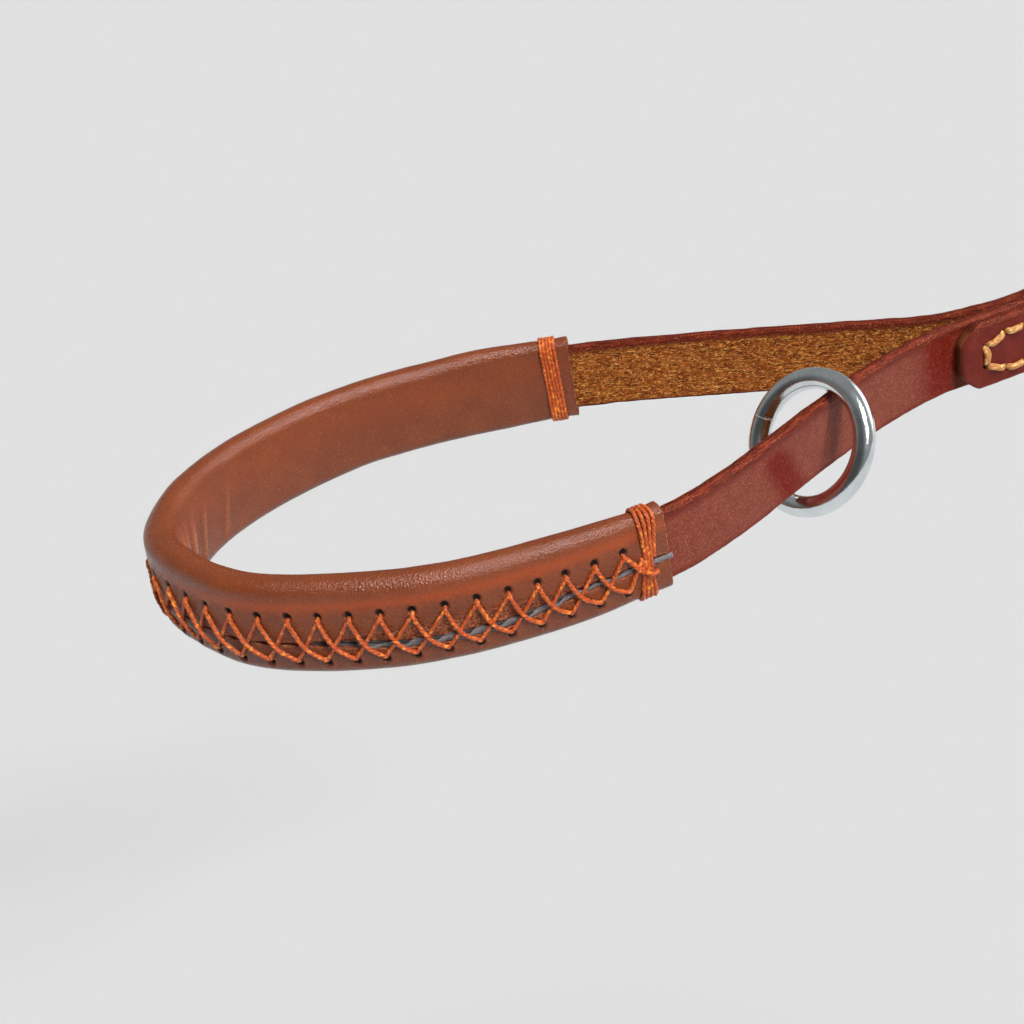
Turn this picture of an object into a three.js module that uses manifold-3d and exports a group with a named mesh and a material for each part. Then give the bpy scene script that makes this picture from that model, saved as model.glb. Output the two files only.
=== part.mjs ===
// Training leash handle: a leather strap folded into a hand loop, a laced padded cover, a loose
// ring, a stitched lap and a swivel bolt snap. Millimetres, +Z up.
// Origin: inner face of the handle at the closed end of the loop, at half the strap's height.
// +X runs from the closed end towards the snap. The strap stands on edge, its width along Z.
import * as THREE from 'three';
import { mergeVertices } from 'three/addons/utils/BufferGeometryUtils.js';
import Module from 'manifold-3d';

const wasm = await Module();
wasm.setup();

// ---- driving dimensions -------------------------------------------------------------------
const STRAP_WIDTH = 18;
const STRAP_THICKNESS = 3.2;
const STRAP_BEVEL = 0.5;
const LAYER_GAP = 0.3;
const NEST_GAP = 0.15;

const LAP_Y = -28.6;
const TAB_START_X = 191.9;
const LAP_END_X = 260;
const TAB_CORNER_CUT = 3.8;
const EYE_X = 270;
const FOLD_RADIUS = 4.6;

const PADDING_THICKNESS = 1.1;
const PADDING_EDGE_THICKNESS = 1.6;
const PADDING_SLIT = 1.2;
const COVER_THICKNESS = 1.0;
const COVER_CORNER = 1.6;
const COVER_NEAR_END_X = 96.4;
const COVER_FAR_END_X = 112;
const PADDING_SHORTER_BY = 1;
const SEAM_Z = -2.25;
const SEAM_GAP = 2;

const LACING_PITCH = 6.75;
const LACING_ROW_SPACING = 10.6;
const LACING_HOLE_RADIUS = 0.75;
const THREAD_RADIUS = 0.42;
const LACING_STAND_OFF = 0.8;
const LACING_PAST_WHIPPING = 4;
const PIN_RADIUS = THREAD_RADIUS * 1.2;
const PIN_RISE = THREAD_RADIUS * 1.5;
const TIE_RADIUS = THREAD_RADIUS * 0.8;
const WHIPPING_INSET = 6;
const FRONT_WHIPPING_TURNS = 4;
const REAR_WHIPPING_TURNS = 5;
const REAR_WHIPPING_INSET = 5;
const WHIPPING_TURN_PITCH = 1.15;

const STITCH_PITCH = 5.4;
const STITCHES_PER_ROW = 9;
const STITCH_FIRST_X = 204;
const STITCH_ROW_Z = 5;
const STITCH_END_STEP_X = 5.4;
const STITCH_END_Z = 2.7;
const STITCH_THREAD_RADIUS = 0.55;
const STITCH_HOLE_RADIUS = 0.85;

const RING_INNER_DIAMETER = 25;
const RING_WIRE_DIAMETER = 5;
const RING_CENTRE = new THREE.Vector3(144.4, -41.8, -0.6);
const RING_AZIMUTH = THREE.MathUtils.degToRad(19);
const RING_LEAN = THREE.MathUtils.degToRad(-33);

const EYE_WIRE_RADIUS = 2.2;
const EYE_HALF_HEIGHT = 12;
const EYE_DEPTH = 13;
const EYE_CORNER = 4;
const BOSS_RADIUS = 5;
const BOSS_BACK_X = EYE_X + 10.2;
const BOSS_FRONT_X = EYE_X + 19;
const STUD_RADIUS = 2;
const STUD_HEAD_RADIUS = 4;
const STUD_HEAD_THICKNESS = 1.9;
const STUD_END_X = EYE_X + 26;
const RUNNING_GAP = 0.3;
const EYE_BORE_START_X = EYE_X + 6;
const STUD_CHAMFER = 0.8;

const HOOK_X = BOSS_FRONT_X + 0.4;
const HOOK_BEND_RADIUS = 10.5;
const HOOK_WIRE_RADIUS = 2.5;
const HOOK_CENTRE_X = HOOK_X + 27;
const HOOK_TIP_ANGLE = THREE.MathUtils.degToRad(-72);
const HOOK_ARM = [[HOOK_X + 5, 1.4], [HOOK_X + 11, 5], [HOOK_X + 18, 8.6]];
const COLLAR_RADIUS = 5.2;
const COLLAR_CHAMFER = 0.8;
const COLLAR_LENGTH = 6;
const NECK_RADIUS = 3.4;
const NECK_X = HOOK_X + 11;
const WEB_HALF_THICKNESS = 2.6;
const WEB_START_X = HOOK_X + 1.6;
const WEB_END_X = HOOK_X + 9;
const BARREL_RADIUS = 3.9;
const BARREL_START_X = HOOK_X + 1;
const BARREL_END_X = HOOK_X + 22;
const BARREL_BORE_START_X = HOOK_X + 3;
const BARREL_Z = -HOOK_BEND_RADIUS;
const BARREL_BACK_CHAMFER = 1;
const BARREL_FRONT_CHAMFER = 0.6;
const BOLT_RADIUS = 2;
const BOLT_BORE_RADIUS = BOLT_RADIUS + RUNNING_GAP;
const BOLT_START_X = HOOK_X + 15;
const BOLT_END_X = HOOK_X + 29.6;
const BOLT_CHAMFER = 0.4;
const BOLT_TRAVEL = 9;
const THUMB_X = HOOK_X + 17;
const THUMB_NECK_RADIUS = 1;
const THUMB_KNOB_RADIUS = 2.3;
const THUMB_KNOB_HEIGHT = 2.2;
const THUMB_KNOB_GAP = 0.5;
const THUMB_TOP_CHAMFER = [0.4, 0.5];
const THUMB_END_CHAMFER = 0.8;
const SPRING_COILS = 5;
const SPRING_WIRE_RADIUS = 0.3;
const SPRING_COIL_RADIUS = 1.5;
const SPRING_END_GAP = 0.2;

const layerSpacing = STRAP_THICKNESS + LAYER_GAP;
const tabY = LAP_Y - layerSpacing;
const farLayerY = LAP_Y + layerSpacing;

// Centreline of the hand loop seen from above, from the lap's back layer round to its middle.
const LOOP_ROUTE = [
  [224, farLayerY], [214, farLayerY], [206, farLayerY + 0.1], [190.8, -21.4], [174.2, -11.6],
  [140.9, 8.8], [113, 23.9],
  [83.3, 33.8], [52.7, 36.7], [20.3, 27.9], [3.6, 14.4], [-3.6, -1.8], [0, -18], [8.1, -32.4],
  [20.7, -43], [44.1, -54.9], [70.7, -60.1], [97.7, -60.2], [115.7, -55.2], [146.3, -41.7],
  [170.6, -32.5], [188, LAP_Y - 0.1], [197, LAP_Y], [210, LAP_Y], [224, LAP_Y],
];
const STATION_TURN = THREE.MathUtils.degToRad(7);
const STATION_SPACING = 12;
const ROUTE_SAMPLES = 1200;
const FINE_SIDES = 4;
const HOLE_SIDES = 5;
const SLIVER_SIZE = 0.02;
const FOLD_STEPS = 12;
const CUT_MARGIN = 1;
const CORNER_TOOL_SIZE = 10;
const SPRING_STEPS_PER_TURN = 9;
const HOOK_BEND_STEPS = 9;

// ---- solids -------------------------------------------------------------------------------
function toManifold(geometry) {
  const bare = geometry.index ? geometry.toNonIndexed() : geometry.clone();
  bare.deleteAttribute('normal');
  bare.deleteAttribute('uv');
  const merged = mergeVertices(bare, 1e-4);
  const triVerts = new Uint32Array(merged.index.array);
  const vertProperties = new Float32Array(merged.attributes.position.array);
  const solid = new wasm.Manifold(new wasm.Mesh({ numProp: 3, vertProperties, triVerts }));
  if (solid.volume() > 0) return solid;
  for (let i = 0; i < triVerts.length; i += 3) {
    [triVerts[i], triVerts[i + 1]] = [triVerts[i + 1], triVerts[i]];
  }
  return new wasm.Manifold(new wasm.Mesh({ numProp: 3, vertProperties, triVerts }));
}

function toGeometry(solid) {
  const mesh = solid.simplify(SLIVER_SIZE).getMesh();
  const geometry = new THREE.BufferGeometry();
  const points = new Float32Array(mesh.vertProperties);
  geometry.setAttribute('position', new THREE.BufferAttribute(points, 3));
  geometry.setIndex(new THREE.BufferAttribute(new Uint32Array(mesh.triVerts), 1));
  geometry.computeVertexNormals();
  return geometry;
}

function joined(solids) {
  return solids.reduce((whole, solid) => whole.add(solid));
}

function cut(solid, tools) {
  return tools.reduce((rest, tool) => rest.subtract(tool), solid);
}

// A closed prism of a section (points of outward offset and height) along plan stations.
function sweep(section, stations) {
  const ring = section.length;
  const positions = [];
  for (const station of stations) {
    for (const [outward, height] of section) {
      const x = station.x + station.nx * outward;
      const y = station.y + station.ny * outward;
      positions.push(x, y, height);
    }
  }
  const index = [];
  for (let i = 0; i + 1 < stations.length; i += 1) {
    for (let j = 0; j < ring; j += 1) {
      const a = i * ring + j;
      const b = i * ring + ((j + 1) % ring);
      index.push(a, b, a + ring, b, b + ring, a + ring);
    }
  }
  const outline = section.map(([outward, height]) => new THREE.Vector2(outward, height));
  const last = (stations.length - 1) * ring;
  for (const [a, b, c] of THREE.ShapeUtils.triangulateShape(outline, [])) {
    index.push(c, b, a);
    index.push(last + a, last + b, last + c);
  }
  const geometry = new THREE.BufferGeometry();
  geometry.setAttribute('position', new THREE.Float32BufferAttribute(positions, 3));
  geometry.setIndex(index);
  return toManifold(geometry);
}

// A straight round bar between two points.
function rod(from, to, radius, sides) {
  const along = new THREE.Vector3().subVectors(to, from);
  const geometry = new THREE.CylinderGeometry(radius, radius, along.length(), sides);
  const turn = new THREE.Quaternion().setFromUnitVectors(
    new THREE.Vector3(0, 1, 0),
    along.clone().normalize(),
  );
  geometry.applyQuaternion(turn);
  geometry.translate((from.x + to.x) / 2, (from.y + to.y) / 2, (from.z + to.z) / 2);
  return toManifold(geometry);
}

// A round bar along a curve through the given points.
function tube(points, radius, sides, steps, closed = false) {
  const curve = new THREE.CatmullRomCurve3(points, closed);
  const section = new THREE.Shape();
  for (let i = 0; i < sides; i += 1) {
    const angle = (i / sides) * 2 * Math.PI;
    const x = radius * Math.cos(angle);
    const y = radius * Math.sin(angle);
    if (i === 0) section.moveTo(x, y);
    else section.lineTo(x, y);
  }
  section.closePath();
  return toManifold(new THREE.ExtrudeGeometry(section, { steps, extrudePath: curve }));
}

// A thread along straight stretches between points, its section turning with them.
function thread(points, radius, sides, firstNormal) {
  const positions = [];
  const normal = firstNormal.clone();
  const count = points.length;
  points.forEach((point, i) => {
    const before = points[Math.max(i - 1, 0)];
    const after = points[Math.min(i + 1, count - 1)];
    const tangent = new THREE.Vector3().subVectors(after, before).normalize();
    normal.addScaledVector(tangent, -normal.dot(tangent)).normalize();
    const across = new THREE.Vector3().crossVectors(tangent, normal);
    for (let k = 0; k < sides; k += 1) {
      const angle = (k / sides) * 2 * Math.PI;
      const place = point.clone();
      place.addScaledVector(normal, radius * Math.cos(angle));
      place.addScaledVector(across, radius * Math.sin(angle));
      positions.push(place.x, place.y, place.z);
    }
  });
  const index = [];
  for (let i = 0; i + 1 < count; i += 1) {
    for (let k = 0; k < sides; k += 1) {
      const a = i * sides + k;
      const b = i * sides + ((k + 1) % sides);
      index.push(a, b, a + sides, b, b + sides, a + sides);
    }
  }
  const last = (count - 1) * sides;
  for (let k = 1; k + 1 < sides; k += 1) {
    index.push(0, k + 1, k);
    index.push(last, last + k, last + k + 1);
  }
  const geometry = new THREE.BufferGeometry();
  geometry.setAttribute('position', new THREE.Float32BufferAttribute(positions, 3));
  geometry.setIndex(index);
  return toManifold(geometry);
}

function box(low, high) {
  const geometry = new THREE.BoxGeometry(high[0] - low[0], high[1] - low[1], high[2] - low[2]);
  geometry.translate((low[0] + high[0]) / 2, (low[1] + high[1]) / 2, (low[2] + high[2]) / 2);
  return toManifold(geometry);
}

// A solid of revolution about a line along X at the given height on the lap's axis.
function turnedAlongX(profile, height, sides) {
  const points = profile.map(([x, radius]) => new THREE.Vector2(radius, x));
  const geometry = new THREE.LatheGeometry(points, sides);
  geometry.rotateZ(-Math.PI / 2);
  geometry.translate(0, LAP_Y, height);
  return toManifold(geometry);
}

function onAxis(x, z, y = LAP_Y) {
  return new THREE.Vector3(x, y, z);
}

// ---- strap route --------------------------------------------------------------------------
function station(x, y, tangentX, tangentY) {
  const length = Math.hypot(tangentX, tangentY);
  return { x, y, nx: tangentY / length, ny: -tangentX / length };
}

// Stations close together where the route turns and further apart where it runs straight.
function loopStations() {
  const curve = new THREE.CatmullRomCurve3(LOOP_ROUTE.map(([x, y]) => new THREE.Vector3(x, y, 0)));
  const length = curve.getLength();
  const stations = [];
  let last = null;
  for (let i = 0; i <= ROUTE_SAMPLES; i += 1) {
    const share = i / ROUTE_SAMPLES;
    const tangent = curve.getTangentAt(share);
    const turned = last && tangent.angleTo(last.tangent) > STATION_TURN;
    const far = last && (share - last.share) * length > STATION_SPACING;
    if (!last || turned || far || i === ROUTE_SAMPLES) {
      const point = curve.getPointAt(share);
      stations.push(station(point.x, point.y, tangent.x, tangent.y));
      last = { share, tangent };
    }
  }
  return stations;
}

function foldStations() {
  const stations = [station(LAP_END_X, tabY, 1, 0)];
  const spread = FOLD_RADIUS - layerSpacing;
  const flareStart = new THREE.Vector2(LAP_END_X, tabY);
  const flareEnd = new THREE.Vector2(EYE_X, LAP_Y - FOLD_RADIUS);
  const flareAngle = 2 * Math.atan2(spread, flareEnd.x - flareStart.x);
  stations.push(station((flareStart.x + flareEnd.x) / 2, tabY - spread / 2, 1, -flareAngle / 2));
  for (let i = 0; i <= FOLD_STEPS; i += 1) {
    const angle = -Math.PI / 2 + (i / FOLD_STEPS) * Math.PI;
    const x = EYE_X + FOLD_RADIUS * Math.cos(angle);
    const y = LAP_Y + FOLD_RADIUS * Math.sin(angle);
    stations.push(station(x, y, -Math.sin(angle), Math.cos(angle)));
  }
  stations.push(station((flareStart.x + flareEnd.x) / 2, farLayerY + spread / 2, -1, -flareAngle / 2));
  stations.push(station(LAP_END_X, farLayerY, -1, 0));
  return stations;
}

// A station on the straight chord between two others, where x has the given value.
function stationAtX(a, b, x) {
  const share = (x - a.x) / (b.x - a.x);
  const mix = (p, q) => p + (q - p) * share;
  const nx = mix(a.nx, b.nx);
  const ny = mix(a.ny, b.ny);
  const length = Math.hypot(nx, ny);
  return { x, y: mix(a.y, b.y), nx: nx / length, ny: ny / length };
}

const loop = loopStations();
const farStart = loop.findIndex((s) => s.x < COVER_FAR_END_X);
loop.splice(farStart, 0, stationAtX(loop[farStart - 1], loop[farStart], COVER_FAR_END_X));
const nearEnd = loop.findIndex((s, i) => i > farStart && s.y < 0 && s.x > COVER_NEAR_END_X);
loop.splice(nearEnd, 0, stationAtX(loop[nearEnd - 1], loop[nearEnd], COVER_NEAR_END_X));
const handleStations = loop.slice(farStart, nearEnd + 1);
const strapStations = [
  station(TAB_START_X, tabY, 1, 0),
  ...foldStations(),
  ...loop,
  station(LAP_END_X, LAP_Y, 1, 0),
];

// Stations along the handle by distance from its near end.
const handleLengths = [0];
for (let i = handleStations.length - 1; i > 0; i -= 1) {
  const here = handleStations[i];
  const next = handleStations[i - 1];
  const step = Math.hypot(next.x - here.x, next.y - here.y);
  handleLengths.push(handleLengths[handleLengths.length - 1] + step);
}
const handleLength = handleLengths[handleLengths.length - 1];

function handleAt(distance) {
  const count = handleStations.length;
  let i = 0;
  while (i + 2 < count && handleLengths[i + 1] < distance) i += 1;
  const share = (distance - handleLengths[i]) / (handleLengths[i + 1] - handleLengths[i]);
  const a = handleStations[count - 1 - i];
  const b = handleStations[count - 2 - i];
  const mix = (p, q) => p + (q - p) * share;
  const length = Math.hypot(mix(a.nx, b.nx), mix(a.ny, b.ny));
  return {
    x: mix(a.x, b.x),
    y: mix(a.y, b.y),
    nx: mix(a.nx, b.nx) / length,
    ny: mix(a.ny, b.ny) / length,
  };
}

function beside(place, outward, height) {
  return new THREE.Vector3(place.x + place.nx * outward, place.y + place.ny * outward, height);
}

// ---- leather ------------------------------------------------------------------------------
function bevelledSection(halfThickness, halfHeight, bevel) {
  return [
    [halfThickness, -halfHeight + bevel],
    [halfThickness, halfHeight - bevel],
    [halfThickness - bevel, halfHeight],
    [-halfThickness + bevel, halfHeight],
    [-halfThickness, halfHeight - bevel],
    [-halfThickness, -halfHeight + bevel],
    [-halfThickness + bevel, -halfHeight],
    [halfThickness - bevel, -halfHeight],
  ];
}

function stitchHoles() {
  const upper = [];
  for (let i = 0; i <= STITCHES_PER_ROW; i += 1) {
    upper.push([STITCH_FIRST_X + i * STITCH_PITCH, STITCH_ROW_Z]);
  }
  const lastX = STITCH_FIRST_X + STITCHES_PER_ROW * STITCH_PITCH;
  const rightX = lastX + STITCH_END_STEP_X / 2;
  const right = [[rightX, STITCH_END_Z], [rightX, -STITCH_END_Z]];
  const lower = upper.map(([x, z]) => [x, -z]).reverse();
  const leftX = STITCH_FIRST_X - STITCH_END_STEP_X;
  return [...upper, ...right, ...lower, [leftX, -STITCH_END_Z], [leftX, STITCH_END_Z]];
}

const lapFrontY = tabY - STRAP_THICKNESS / 2;
const lapBackY = farLayerY + STRAP_THICKNESS / 2;

// The far face of the back layer, which leaves the lap's plane just before the tab's end.
function backFaceY(x) {
  const next = loop.findIndex((s) => s.x < x);
  if (next < 1) return lapBackY;
  return stationAtX(loop[next - 1], loop[next], x).y + STRAP_THICKNESS / 2;
}

function leashStrap() {
  const section = bevelledSection(STRAP_THICKNESS / 2, STRAP_WIDTH / 2, STRAP_BEVEL);
  const strap = sweep(section, strapStations);
  const tools = stitchHoles().map(([x, z]) => {
    const front = onAxis(x, z, lapFrontY - CUT_MARGIN);
    const back = onAxis(x, z, backFaceY(x) + CUT_MARGIN);
    return rod(front, back, STITCH_HOLE_RADIUS, HOLE_SIDES);
  });
  const offset = (CORNER_TOOL_SIZE / Math.SQRT2 - TAB_CORNER_CUT) / 2;
  for (const side of [-1, 1]) {
    const corner = new THREE.BoxGeometry(CORNER_TOOL_SIZE, layerSpacing, CORNER_TOOL_SIZE);
    corner.rotateY(Math.PI / 4);
    corner.translate(TAB_START_X - offset, tabY, side * (STRAP_WIDTH / 2 + offset));
    tools.push(toManifold(corner));
  }
  return cut(strap, tools);
}

const paddingOutward = STRAP_THICKNESS / 2 + NEST_GAP + PADDING_THICKNESS;
const paddingHeight = STRAP_WIDTH / 2 + NEST_GAP + PADDING_EDGE_THICKNESS;
const coverInner = paddingOutward + NEST_GAP;
const coverInnerHeight = paddingHeight + NEST_GAP;
const coverOuter = coverInner + COVER_THICKNESS;
const coverHeight = coverInnerHeight + COVER_THICKNESS;

// A band wrapped round the strap, its two edges a slit apart on the loop's outside.
function wrapSection(inner, innerHeight, outer, outerHeight, corner, slitWidth) {
  const upper = SEAM_Z + slitWidth / 2;
  const lower = SEAM_Z - slitWidth / 2;
  return [
    [outer, upper],
    [outer, outerHeight - corner],
    [outer - corner, outerHeight],
    [-outer + corner, outerHeight],
    [-outer, outerHeight - corner],
    [-outer, -outerHeight + corner],
    [-outer + corner, -outerHeight],
    [outer - corner, -outerHeight],
    [outer, -outerHeight + corner],
    [outer, lower],
    [inner, lower],
    [inner, -innerHeight],
    [-inner, -innerHeight],
    [-inner, innerHeight],
    [inner, innerHeight],
    [inner, upper],
  ];
}

function handlePadding() {
  const stations = handleStations.slice(PADDING_SHORTER_BY);
  const inner = STRAP_THICKNESS / 2 + NEST_GAP;
  const innerHeight = STRAP_WIDTH / 2 + NEST_GAP;
  const corner = PADDING_THICKNESS / 2;
  const section = wrapSection(
    inner,
    innerHeight,
    paddingOutward,
    paddingHeight,
    corner,
    PADDING_SLIT,
  );
  return sweep(section, stations);
}

const lacingStart = WHIPPING_INSET + LACING_PAST_WHIPPING;
const lacingEnd = handleLength - lacingStart;
const lacingSteps = Math.floor((lacingEnd - lacingStart) / LACING_PITCH);

function lacingPoints(height, outward) {
  const points = [];
  for (let i = 0; i <= lacingSteps; i += 1) {
    points.push(beside(handleAt(lacingStart + i * LACING_PITCH), outward, height));
  }
  return points;
}

const upperRowZ = SEAM_Z + LACING_ROW_SPACING / 2;
const lowerRowZ = SEAM_Z - LACING_ROW_SPACING / 2;

function handleCover() {
  const section = wrapSection(
    coverInner,
    coverInnerHeight,
    coverOuter,
    coverHeight,
    COVER_CORNER,
    SEAM_GAP,
  );
  const cover = sweep(section, handleStations);
  const tools = [];
  for (const height of [upperRowZ, lowerRowZ]) {
    const outside = lacingPoints(height, coverOuter + CUT_MARGIN);
    const inside = lacingPoints(height, coverInner - NEST_GAP / 2);
    outside.forEach((point, i) => tools.push(rod(inside[i], point, LACING_HOLE_RADIUS, HOLE_SIDES)));
  }
  return cut(cover, tools);
}

// ---- threads ------------------------------------------------------------------------------
// Two threads that cross between the hole rows, dip into every hole and are tied at both ends.
function coverLacing() {
  const level = coverOuter + LACING_STAND_OFF;
  const overLevel = level + 2 * THREAD_RADIUS + NEST_GAP;
  const inside = coverInner + COVER_THICKNESS / 4;
  const zigzagHeight = (zigzag, i) => ((i + zigzag) % 2 === 0 ? upperRowZ : lowerRowZ);
  const zigzagPoint = (zigzag, i, outward) =>
    beside(handleAt(lacingStart + i * LACING_PITCH), outward, zigzagHeight(zigzag, i));
  const place = handleAt(lacingStart);
  const strands = [];
  [level, overLevel].forEach((outward, zigzag) => {
    const path = [];
    for (let i = 0; i <= lacingSteps; i += 1) {
      path.push(zigzagPoint(zigzag, i, outward));
      const deep = zigzagPoint(zigzag, i, inside);
      const high = zigzagPoint(zigzag, i, outward + PIN_RISE);
      strands.push(rod(deep, high, PIN_RADIUS, HOLE_SIDES));
    }
    strands.push(thread(path, THREAD_RADIUS, FINE_SIDES, new THREE.Vector3(place.nx, place.ny, 0)));
  });
  for (const i of [0, lacingSteps]) {
    const first = zigzagPoint(0, i, level);
    const second = zigzagPoint(1, i, overLevel);
    strands.push(rod(first, second, TIE_RADIUS, FINE_SIDES));
  }
  return joined(strands);
}

// Thread wound round the cover, an open helix over its rounded section.
function whipping(middle, turns) {
  const stand = THREAD_RADIUS + NEST_GAP;
  const outward = coverOuter + stand;
  const height = coverHeight + stand;
  const corner = COVER_CORNER;
  const around = [
    [outward, 0], [outward, height - corner], [outward - corner, height],
    [-outward + corner, height], [-outward, height - corner], [-outward, 0],
    [-outward, -height + corner], [-outward + corner, -height],
    [outward - corner, -height], [outward, -height + corner],
  ];
  const points = [];
  for (let i = 0; i <= turns * around.length; i += 1) {
    const [out, up] = around[i % around.length];
    const distance = middle + (i / around.length - turns / 2) * WHIPPING_TURN_PITCH;
    points.push(beside(handleAt(distance), out, up));
  }
  const place = handleAt(middle);
  return thread(points, THREAD_RADIUS, 5, new THREE.Vector3(-place.ny, place.nx, 0));
}

function lapStitching() {
  const stand = STITCH_THREAD_RADIUS + NEST_GAP;
  const front = lapFrontY - stand;
  const holes = stitchHoles();
  const pieces = [];
  holes.forEach(([x, z], i) => {
    const [nextX, nextZ] = holes[(i + 1) % holes.length];
    const radius = STITCH_THREAD_RADIUS;
    const back = backFaceY(x) + stand;
    const nextBack = backFaceY(nextX) + stand;
    pieces.push(rod(onAxis(x, z, front - radius), onAxis(x, z, back + radius), radius, FINE_SIDES));
    pieces.push(rod(onAxis(x, z, front), onAxis(nextX, nextZ, front), radius, FINE_SIDES));
    pieces.push(rod(onAxis(x, z, back), onAxis(nextX, nextZ, nextBack), radius, FINE_SIDES));
  });
  return joined(pieces);
}

// ---- metal --------------------------------------------------------------------------------
function accessoryRing() {
  const middle = (RING_INNER_DIAMETER + RING_WIRE_DIAMETER) / 2;
  const ring = new THREE.TorusGeometry(middle, RING_WIRE_DIAMETER / 2, 10, 32);
  const axis = new THREE.Vector3(
    Math.cos(RING_LEAN) * Math.cos(RING_AZIMUTH),
    Math.cos(RING_LEAN) * Math.sin(RING_AZIMUTH),
    Math.sin(RING_LEAN),
  );
  const turn = new THREE.Quaternion().setFromUnitVectors(new THREE.Vector3(0, 0, 1), axis);
  ring.applyQuaternion(turn);
  ring.translate(RING_CENTRE.x, RING_CENTRE.y, RING_CENTRE.z);
  return toManifold(ring);
}

function snapEye() {
  const loopOfWire = tube(eyePath(), EYE_WIRE_RADIUS, 8, 40, true);
  const boss = turnedAlongX([
    [BOSS_BACK_X, 0], [BOSS_BACK_X, BOSS_RADIUS], [BOSS_FRONT_X - 1, BOSS_RADIUS],
    [BOSS_FRONT_X, BOSS_RADIUS - 1], [BOSS_FRONT_X, 0],
  ], 0, 20);
  const boreStart = onAxis(EYE_BORE_START_X, 0);
  const bore = rod(boreStart, onAxis(BOSS_FRONT_X + CUT_MARGIN, 0), STUD_RADIUS + RUNNING_GAP, 16);
  const headRoom = rod(boreStart, onAxis(BOSS_BACK_X, 0), STUD_HEAD_RADIUS + RUNNING_GAP, 16);
  return cut(joined([loopOfWire, boss]), [bore, headRoom]);
}

// Centreline of the eye: a rounded rectangle standing in the plane of the lap's axis and Z.
function eyePath() {
  const points = [];
  const halfDepth = EYE_DEPTH / 2;
  const middleX = EYE_X + halfDepth;
  const arcSteps = 4;
  for (const [sideX, sideZ, start] of [[1, 1, 0], [-1, 1, 90], [-1, -1, 180], [1, -1, 270]]) {
    for (let i = 0; i <= arcSteps; i += 1) {
      const angle = THREE.MathUtils.degToRad(start + (90 * i) / arcSteps);
      const x = middleX + sideX * (halfDepth - EYE_CORNER) + EYE_CORNER * Math.cos(angle);
      const z = sideZ * (EYE_HALF_HEIGHT - EYE_CORNER) + EYE_CORNER * Math.sin(angle);
      points.push(onAxis(x, z));
    }
    const alongTop = sideX === sideZ;
    if (alongTop) points.push(onAxis(middleX, sideZ * EYE_HALF_HEIGHT));
    else points.push(onAxis(middleX + sideX * halfDepth, 0));
  }
  return points;
}

function swivelStud() {
  const headBack = BOSS_BACK_X - RUNNING_GAP - STUD_HEAD_THICKNESS;
  const headFront = BOSS_BACK_X - RUNNING_GAP;
  return turnedAlongX([
    [headBack, 0], [headBack, STUD_HEAD_RADIUS - STUD_CHAMFER],
    [headBack + STUD_CHAMFER, STUD_HEAD_RADIUS],
    [headFront, STUD_HEAD_RADIUS], [headFront, STUD_RADIUS], [STUD_END_X, STUD_RADIUS],
    [STUD_END_X, 0],
  ], 0, 16);
}

function hookPath() {
  const points = HOOK_ARM.map(([x, z]) => onAxis(x, z));
  for (let i = 0; i <= HOOK_BEND_STEPS; i += 1) {
    const angle = Math.PI / 2 + (i / HOOK_BEND_STEPS) * (HOOK_TIP_ANGLE - Math.PI / 2);
    const x = HOOK_CENTRE_X + HOOK_BEND_RADIUS * Math.cos(angle);
    points.push(onAxis(x, HOOK_BEND_RADIUS * Math.sin(angle)));
  }
  return points;
}

function hookSolids() {
  const collar = turnedAlongX([
    [HOOK_X, 0], [HOOK_X, COLLAR_RADIUS - COLLAR_CHAMFER], [HOOK_X + COLLAR_CHAMFER, COLLAR_RADIUS],
    [HOOK_X + COLLAR_LENGTH, COLLAR_RADIUS], [NECK_X, NECK_RADIUS], [NECK_X, 0],
  ], 0, 20);
  const barrel = turnedAlongX([
    [BARREL_START_X, 0], [BARREL_START_X, BARREL_RADIUS - BARREL_BACK_CHAMFER],
    [BARREL_START_X + BARREL_BACK_CHAMFER, BARREL_RADIUS],
    [BARREL_END_X - BARREL_FRONT_CHAMFER, BARREL_RADIUS],
    [BARREL_END_X, BARREL_RADIUS - BARREL_FRONT_CHAMFER], [BARREL_END_X, 0],
  ], BARREL_Z, 20);
  const web = box(
    [WEB_START_X, LAP_Y - WEB_HALF_THICKNESS, BARREL_Z],
    [WEB_END_X, LAP_Y + WEB_HALF_THICKNESS, 0],
  );
  return [collar, barrel, web, tube(hookPath(), HOOK_WIRE_RADIUS, 12, 26)];
}

function hookBody() {
  const bore = rod(
    onAxis(BARREL_BORE_START_X, BARREL_Z),
    onAxis(BARREL_END_X + CUT_MARGIN, BARREL_Z),
    BOLT_BORE_RADIUS,
    16,
  );
  const tipTrim = box(
    [BARREL_END_X, LAP_Y - BARREL_RADIUS, BARREL_Z - BARREL_RADIUS],
    [BOLT_END_X + RUNNING_GAP, LAP_Y + BARREL_RADIUS, BARREL_Z + BARREL_RADIUS],
  );
  const slotHalf = THUMB_NECK_RADIUS + RUNNING_GAP;
  const slotStartX = THUMB_X - BOLT_TRAVEL - slotHalf - RUNNING_GAP;
  const slot = box(
    [slotStartX, LAP_Y - slotHalf, BARREL_Z - BARREL_RADIUS - CUT_MARGIN],
    [THUMB_X + slotHalf, LAP_Y + slotHalf, BARREL_Z],
  );
  const studHole = rod(
    onAxis(HOOK_X - CUT_MARGIN, 0),
    onAxis(STUD_END_X + RUNNING_GAP, 0),
    STUD_RADIUS + RUNNING_GAP,
    16,
  );
  return cut(joined(hookSolids()), [bore, tipTrim, slot, studHole]);
}

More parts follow.
